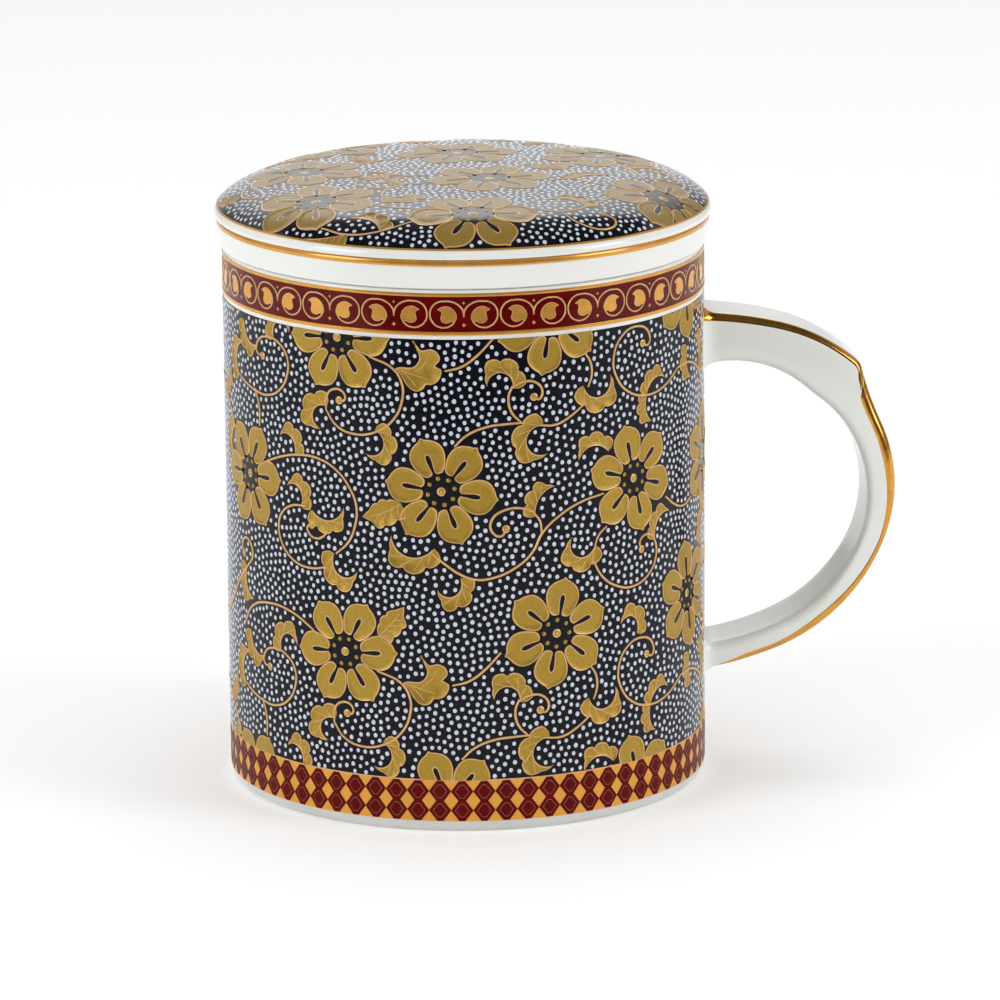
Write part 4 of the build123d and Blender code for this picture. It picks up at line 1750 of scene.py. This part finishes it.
class MUG_OT_lower_border(bpy.types.Operator):
    """Print the amber border with two rows of dark red lozenges above the foot"""

    bl_idname = "mug.lower_border"
    bl_label = "Lower border"

    def execute(self, context):
        wall, skin = mm(sizes().radius), mm(prints().ground)
        low, high = node_low("lower_border_decal") - 0.4, node_top("lower_border_decal") - 0.3
        ground = dress(band("lower_border_ground", wall, low, high, skin), "amber_gold")
        placed(ground, "mug", "lozenge_print", "lower_border_decal")
        line = band("lower_border_line", wall, high - 0.1, high + 0.16, skin + 0.06, 0.05)
        placed(dress(line, "outline_gold"), "mug", "lozenge_print")
        pitch = LAP / LOZENGE_UNITS
        middle, wide = (low + high) / 2, 0.5 * pitch
        half = ((wide, LOZENGE_TIP), (LOZENGE_NECK, LOZENGE_TALL))
        half += tuple((-x, y) for x, y in half[::-1])
        tips = half + tuple((-x, -y) for x, y in half)
        corners = []
        for a, b in zip(tips, tips[1:] + tips[:1]):
            for k in range(2):
                corners.append((a[0] + (b[0] - a[0]) * k / 2, a[1] + (b[1] - a[1]) * k / 2))
        piece = dress(outlined("lozenge", sunk(corners)), "lozenge_red", "lozenge_line")
        field, rim = ((0.98, 0.1), (0.64, 0.0)), ((0.985, 0.02), (0.955, 0.0))
        pad(piece, (0.0, 0.0), *field, 1, *rim, 0, (0.985, -0.02), (0.5, 0.0))
        rows = []
        for k in range(LOZENGE_UNITS):
            for side in (-1, 1):
                place = (pitch * k + LOZENGE_START, middle + side * ROW_APART, 0.006 * side)
                rows.append(copied(piece, Matrix.Translation(place)))
        bpy.data.objects.remove(piece)
        piece = joined("lower_border_lozenges", rows)
        onto_wall(piece, wall + skin)
        smooth(piece, 40)
        placed(piece, "mug", "lozenge_print")
        return {"FINISHED"}


class MUG_OT_stage(bpy.types.Operator):
    """Set the pale floor, the soft studio light and the camera"""

    bl_idname = "mug.stage"
    bl_label = "Stage"

    def execute(self, context):
        fresh()
        bpy.ops.mesh.primitive_plane_add(size=6.0, location=(0, 2.7, 0))
        floor = named(bpy.context.object, "floor")
        bpy.ops.object.transform_apply(location=True)
        floor.data.materials.append(floor_finish())
        scene = context.scene
        scene.view_settings.view_transform = "Standard"
        world_light(scene)
        for name, spot, size, power, aim in LAMPS:
            fresh()
            bpy.ops.object.light_add(type="AREA", location=spot)
            lamp = bpy.context.object
            lamp.name = name
            lamp.data.shape = "RECTANGLE"
            lamp.data.size, lamp.data.size_y = size
            lamp.data.energy = power
            lamp.rotation_euler = (Vector(aim) - Vector(spot)).to_track_quat("-Z", "Y").to_euler()
            lamp.visible_glossy = name != "top_softbox"
        camera(scene)
        return {"FINISHED"}


LAMPS = (
    ("top_softbox", (0.0, 0.25, 1.4), (1.3, 1.3), 6.0, (0, 0, 0.05)),
    ("left_softbox", (-1.4, -0.66, 0.58), (0.7, 0.9), 9.0, (0, 0, 0.05)),
    ("right_softbox", (1.38, -0.7, 0.58), (0.7, 0.9), 9.0, (0, 0, 0.05)),
)


def floor_finish():
    """Pale paper that shows the object's shadow and runs out to plain white."""
    made = bpy.data.materials.new("floor_paper")
    made.use_nodes = True
    nodes, links = made.node_tree.nodes, made.node_tree.links
    shader = nodes["Principled BSDF"]
    shader.inputs["Roughness"].default_value = 0.9
    shader.inputs["Emission Color"].default_value = (1, 1, 1, 1)
    shader.inputs["Emission Strength"].default_value = 0.16
    shader.inputs["Specular IOR Level"].default_value = 0.1
    place = nodes.new("ShaderNodeTexCoord")
    grain = nodes.new("ShaderNodeTexNoise")
    grain.inputs["Scale"].default_value = 300.0
    links.new(place.outputs["Object"], grain.inputs["Vector"])
    ramp = nodes.new("ShaderNodeValToRGB")
    ramp.color_ramp.elements[0].color = (0.97, 0.97, 0.97, 1)
    ramp.color_ramp.elements[1].color = (1.0, 1.0, 1.0, 1)
    links.new(grain.outputs["Fac"], ramp.inputs["Fac"])
    links.new(ramp.outputs["Color"], shader.inputs["Base Color"])
    return made


# Levels of the room that shiny surfaces show: from behind the camera to the far wall, from the
# table's height upwards, and from the left to the right
ROOM_DEPTH = ((0.1, (0.05, 0.05, 0.055)), (0.36, (0.8, 0.8, 0.8)), (0.8, (1.0, 1.0, 1.0)))
ROOM_HEIGHT = ((0.0, 0.9), (0.24, 1.05), (0.45, 1.9), (0.6, 2.6), (0.68, 0.3), (0.85, 0.14))
ROOM_ACROSS = ((0.28, 0.3), (0.46, 1.0), (0.56, 1.0), (0.74, 0.3))
EVEN_LIGHT = 0.5


def world_light(scene):
    """White surroundings for the camera, a darker room in reflections, even light for the rest."""
    world = bpy.data.worlds.new("studio")
    scene.world = world
    world.use_nodes = True
    nodes, links = world.node_tree.nodes, world.node_tree.links
    nodes.clear()
    out = nodes.new("ShaderNodeOutputWorld")
    path = nodes.new("ShaderNodeLightPath")

    def plain(strength):
        made = nodes.new("ShaderNodeBackground")
        made.inputs["Color"].default_value = (1, 1, 1, 1)
        made.inputs["Strength"].default_value = strength
        return made

    def blend(factor, first, second):
        made = nodes.new("ShaderNodeMixShader")
        links.new(factor, made.inputs["Fac"])
        links.new(first.outputs[0], made.inputs[1])
        links.new(second.outputs[0], made.inputs[2])
        return made

    def ramp(value, steps):
        made = nodes.new("ShaderNodeValToRGB")
        stops = made.color_ramp.elements
        for k, (place, level) in enumerate(steps):
            stop = stops[k] if k < 2 else stops.new(place)
            stop.position = place
            stop.color = (level if isinstance(level, tuple) else (level,) * 3) + (1,)
        links.new(value, made.inputs["Fac"])
        return made.outputs["Color"]

    def both_ways(value):
        made = nodes.new("ShaderNodeMapRange")
        made.inputs["From Min"].default_value = -1.0
        made.inputs["From Max"].default_value = 1.0
        links.new(value, made.inputs["Value"])
        return made.outputs["Result"]

    place = nodes.new("ShaderNodeTexCoord")
    split = nodes.new("ShaderNodeSeparateXYZ")
    links.new(place.outputs["Generated"], split.inputs["Vector"])
    x, y, z = (split.outputs[axis] for axis in "XYZ")
    product = nodes.new("ShaderNodeMath")
    product.operation = "MULTIPLY"
    links.new(ramp(z, ROOM_HEIGHT), product.inputs[0])
    links.new(ramp(both_ways(x), ROOM_ACROSS), product.inputs[1])
    room = plain(1.0)
    links.new(ramp(both_ways(y), ROOM_DEPTH), room.inputs["Color"])
    links.new(product.outputs["Value"], room.inputs["Strength"])
    shiny = blend(path.outputs["Is Glossy Ray"], plain(EVEN_LIGHT), room)
    clear = blend(path.outputs["Is Transmission Ray"], shiny, plain(1.0))
    seen = blend(path.outputs["Is Camera Ray"], clear, plain(1.0))
    links.new(seen.outputs[0], out.inputs["Surface"])


def camera(scene):
    """The photograph's viewpoint: a long lens a little above the rim, off the handle's plane."""
    turn, rise, roll = math.radians(-5.0), math.radians(13.852), math.radians(0.498)
    far, lens = 1192.09, 246.38
    right = Vector((math.cos(turn), math.sin(turn), 0))
    flat = math.cos(rise)
    view = Vector((-math.sin(turn) * flat, math.cos(turn) * flat, -math.sin(rise)))
    up = right.cross(view)
    side = right * math.cos(roll) - up * math.sin(roll)
    over = right * math.sin(roll) + up * math.cos(roll)
    aside, height = 6.0, 47.949
    aim = right * aside + Vector((0, 0, height))
    spot = (aim - view * far) * MM
    data = bpy.data.cameras.new("camera")
    data.lens, data.sensor_width, data.sensor_fit = lens, 36.0, "HORIZONTAL"
    eye = bpy.data.objects.new("camera", data)
    scene.collection.objects.link(eye)
    eye.matrix_world = Matrix.Translation(spot) @ Matrix((side, over, -view)).transposed().to_4x4()
    scene.camera = eye


STEPS = (
    MUG_OT_body,
    MUG_OT_handle,
    MUG_OT_handle_stripes,
    MUG_OT_wrap,
    MUG_OT_upper_border,
    MUG_OT_lower_border,
    MUG_OT_infuser,
    MUG_OT_lid,
    MUG_OT_lid_print,
    MUG_OT_gold_lines,
    MUG_OT_stage,
)


class MUG_PT_panel(bpy.types.Panel):
    """Sizes, colours and making steps of the mug"""

    bl_idname = "MUG_PT_panel"
    bl_label = "Infuser mug"
    bl_space_type = "VIEW_3D"
    bl_region_type = "UI"
    bl_category = "Mug"

    def draw(self, context):
        layout, scene = self.layout, context.scene
        for group in (scene.mug_sizes, scene.mug_handle, scene.mug_prints, scene.mug_finishes):
            box = layout.box()
            for name in group.__annotations__:
                box.prop(group, name)
        for step in STEPS:
            layout.operator(step.bl_idname)


GROUPS = (
    ("mug_sizes", MugSizes),
    ("mug_handle", HandleSizes),
    ("mug_prints", PrintSizes),
    ("mug_finishes", Finishes),
)


def register():
    for _, group in GROUPS:
        bpy.utils.register_class(group)
    for step in STEPS:
        bpy.utils.register_class(step)
    bpy.utils.register_class(MUG_PT_panel)
    for name, group in GROUPS:
        setattr(bpy.types.Scene, name, PointerProperty(type=group))


def unregister():
    for name, _ in GROUPS:
        delattr(bpy.types.Scene, name)
    bpy.utils.unregister_class(MUG_PT_panel)
    for step in reversed(STEPS):
        bpy.utils.unregister_class(step)
    for _, group in reversed(GROUPS):
        bpy.utils.unregister_class(group)


def main():
    register()
    for step in STEPS:
        group, name = step.bl_idname.split(".")
        result = getattr(getattr(bpy.ops, group), name)()
        if result != {"FINISHED"}:
            raise RuntimeError(f"{step.bl_label} wasn't made")


if __name__ == "__main__":
    main()
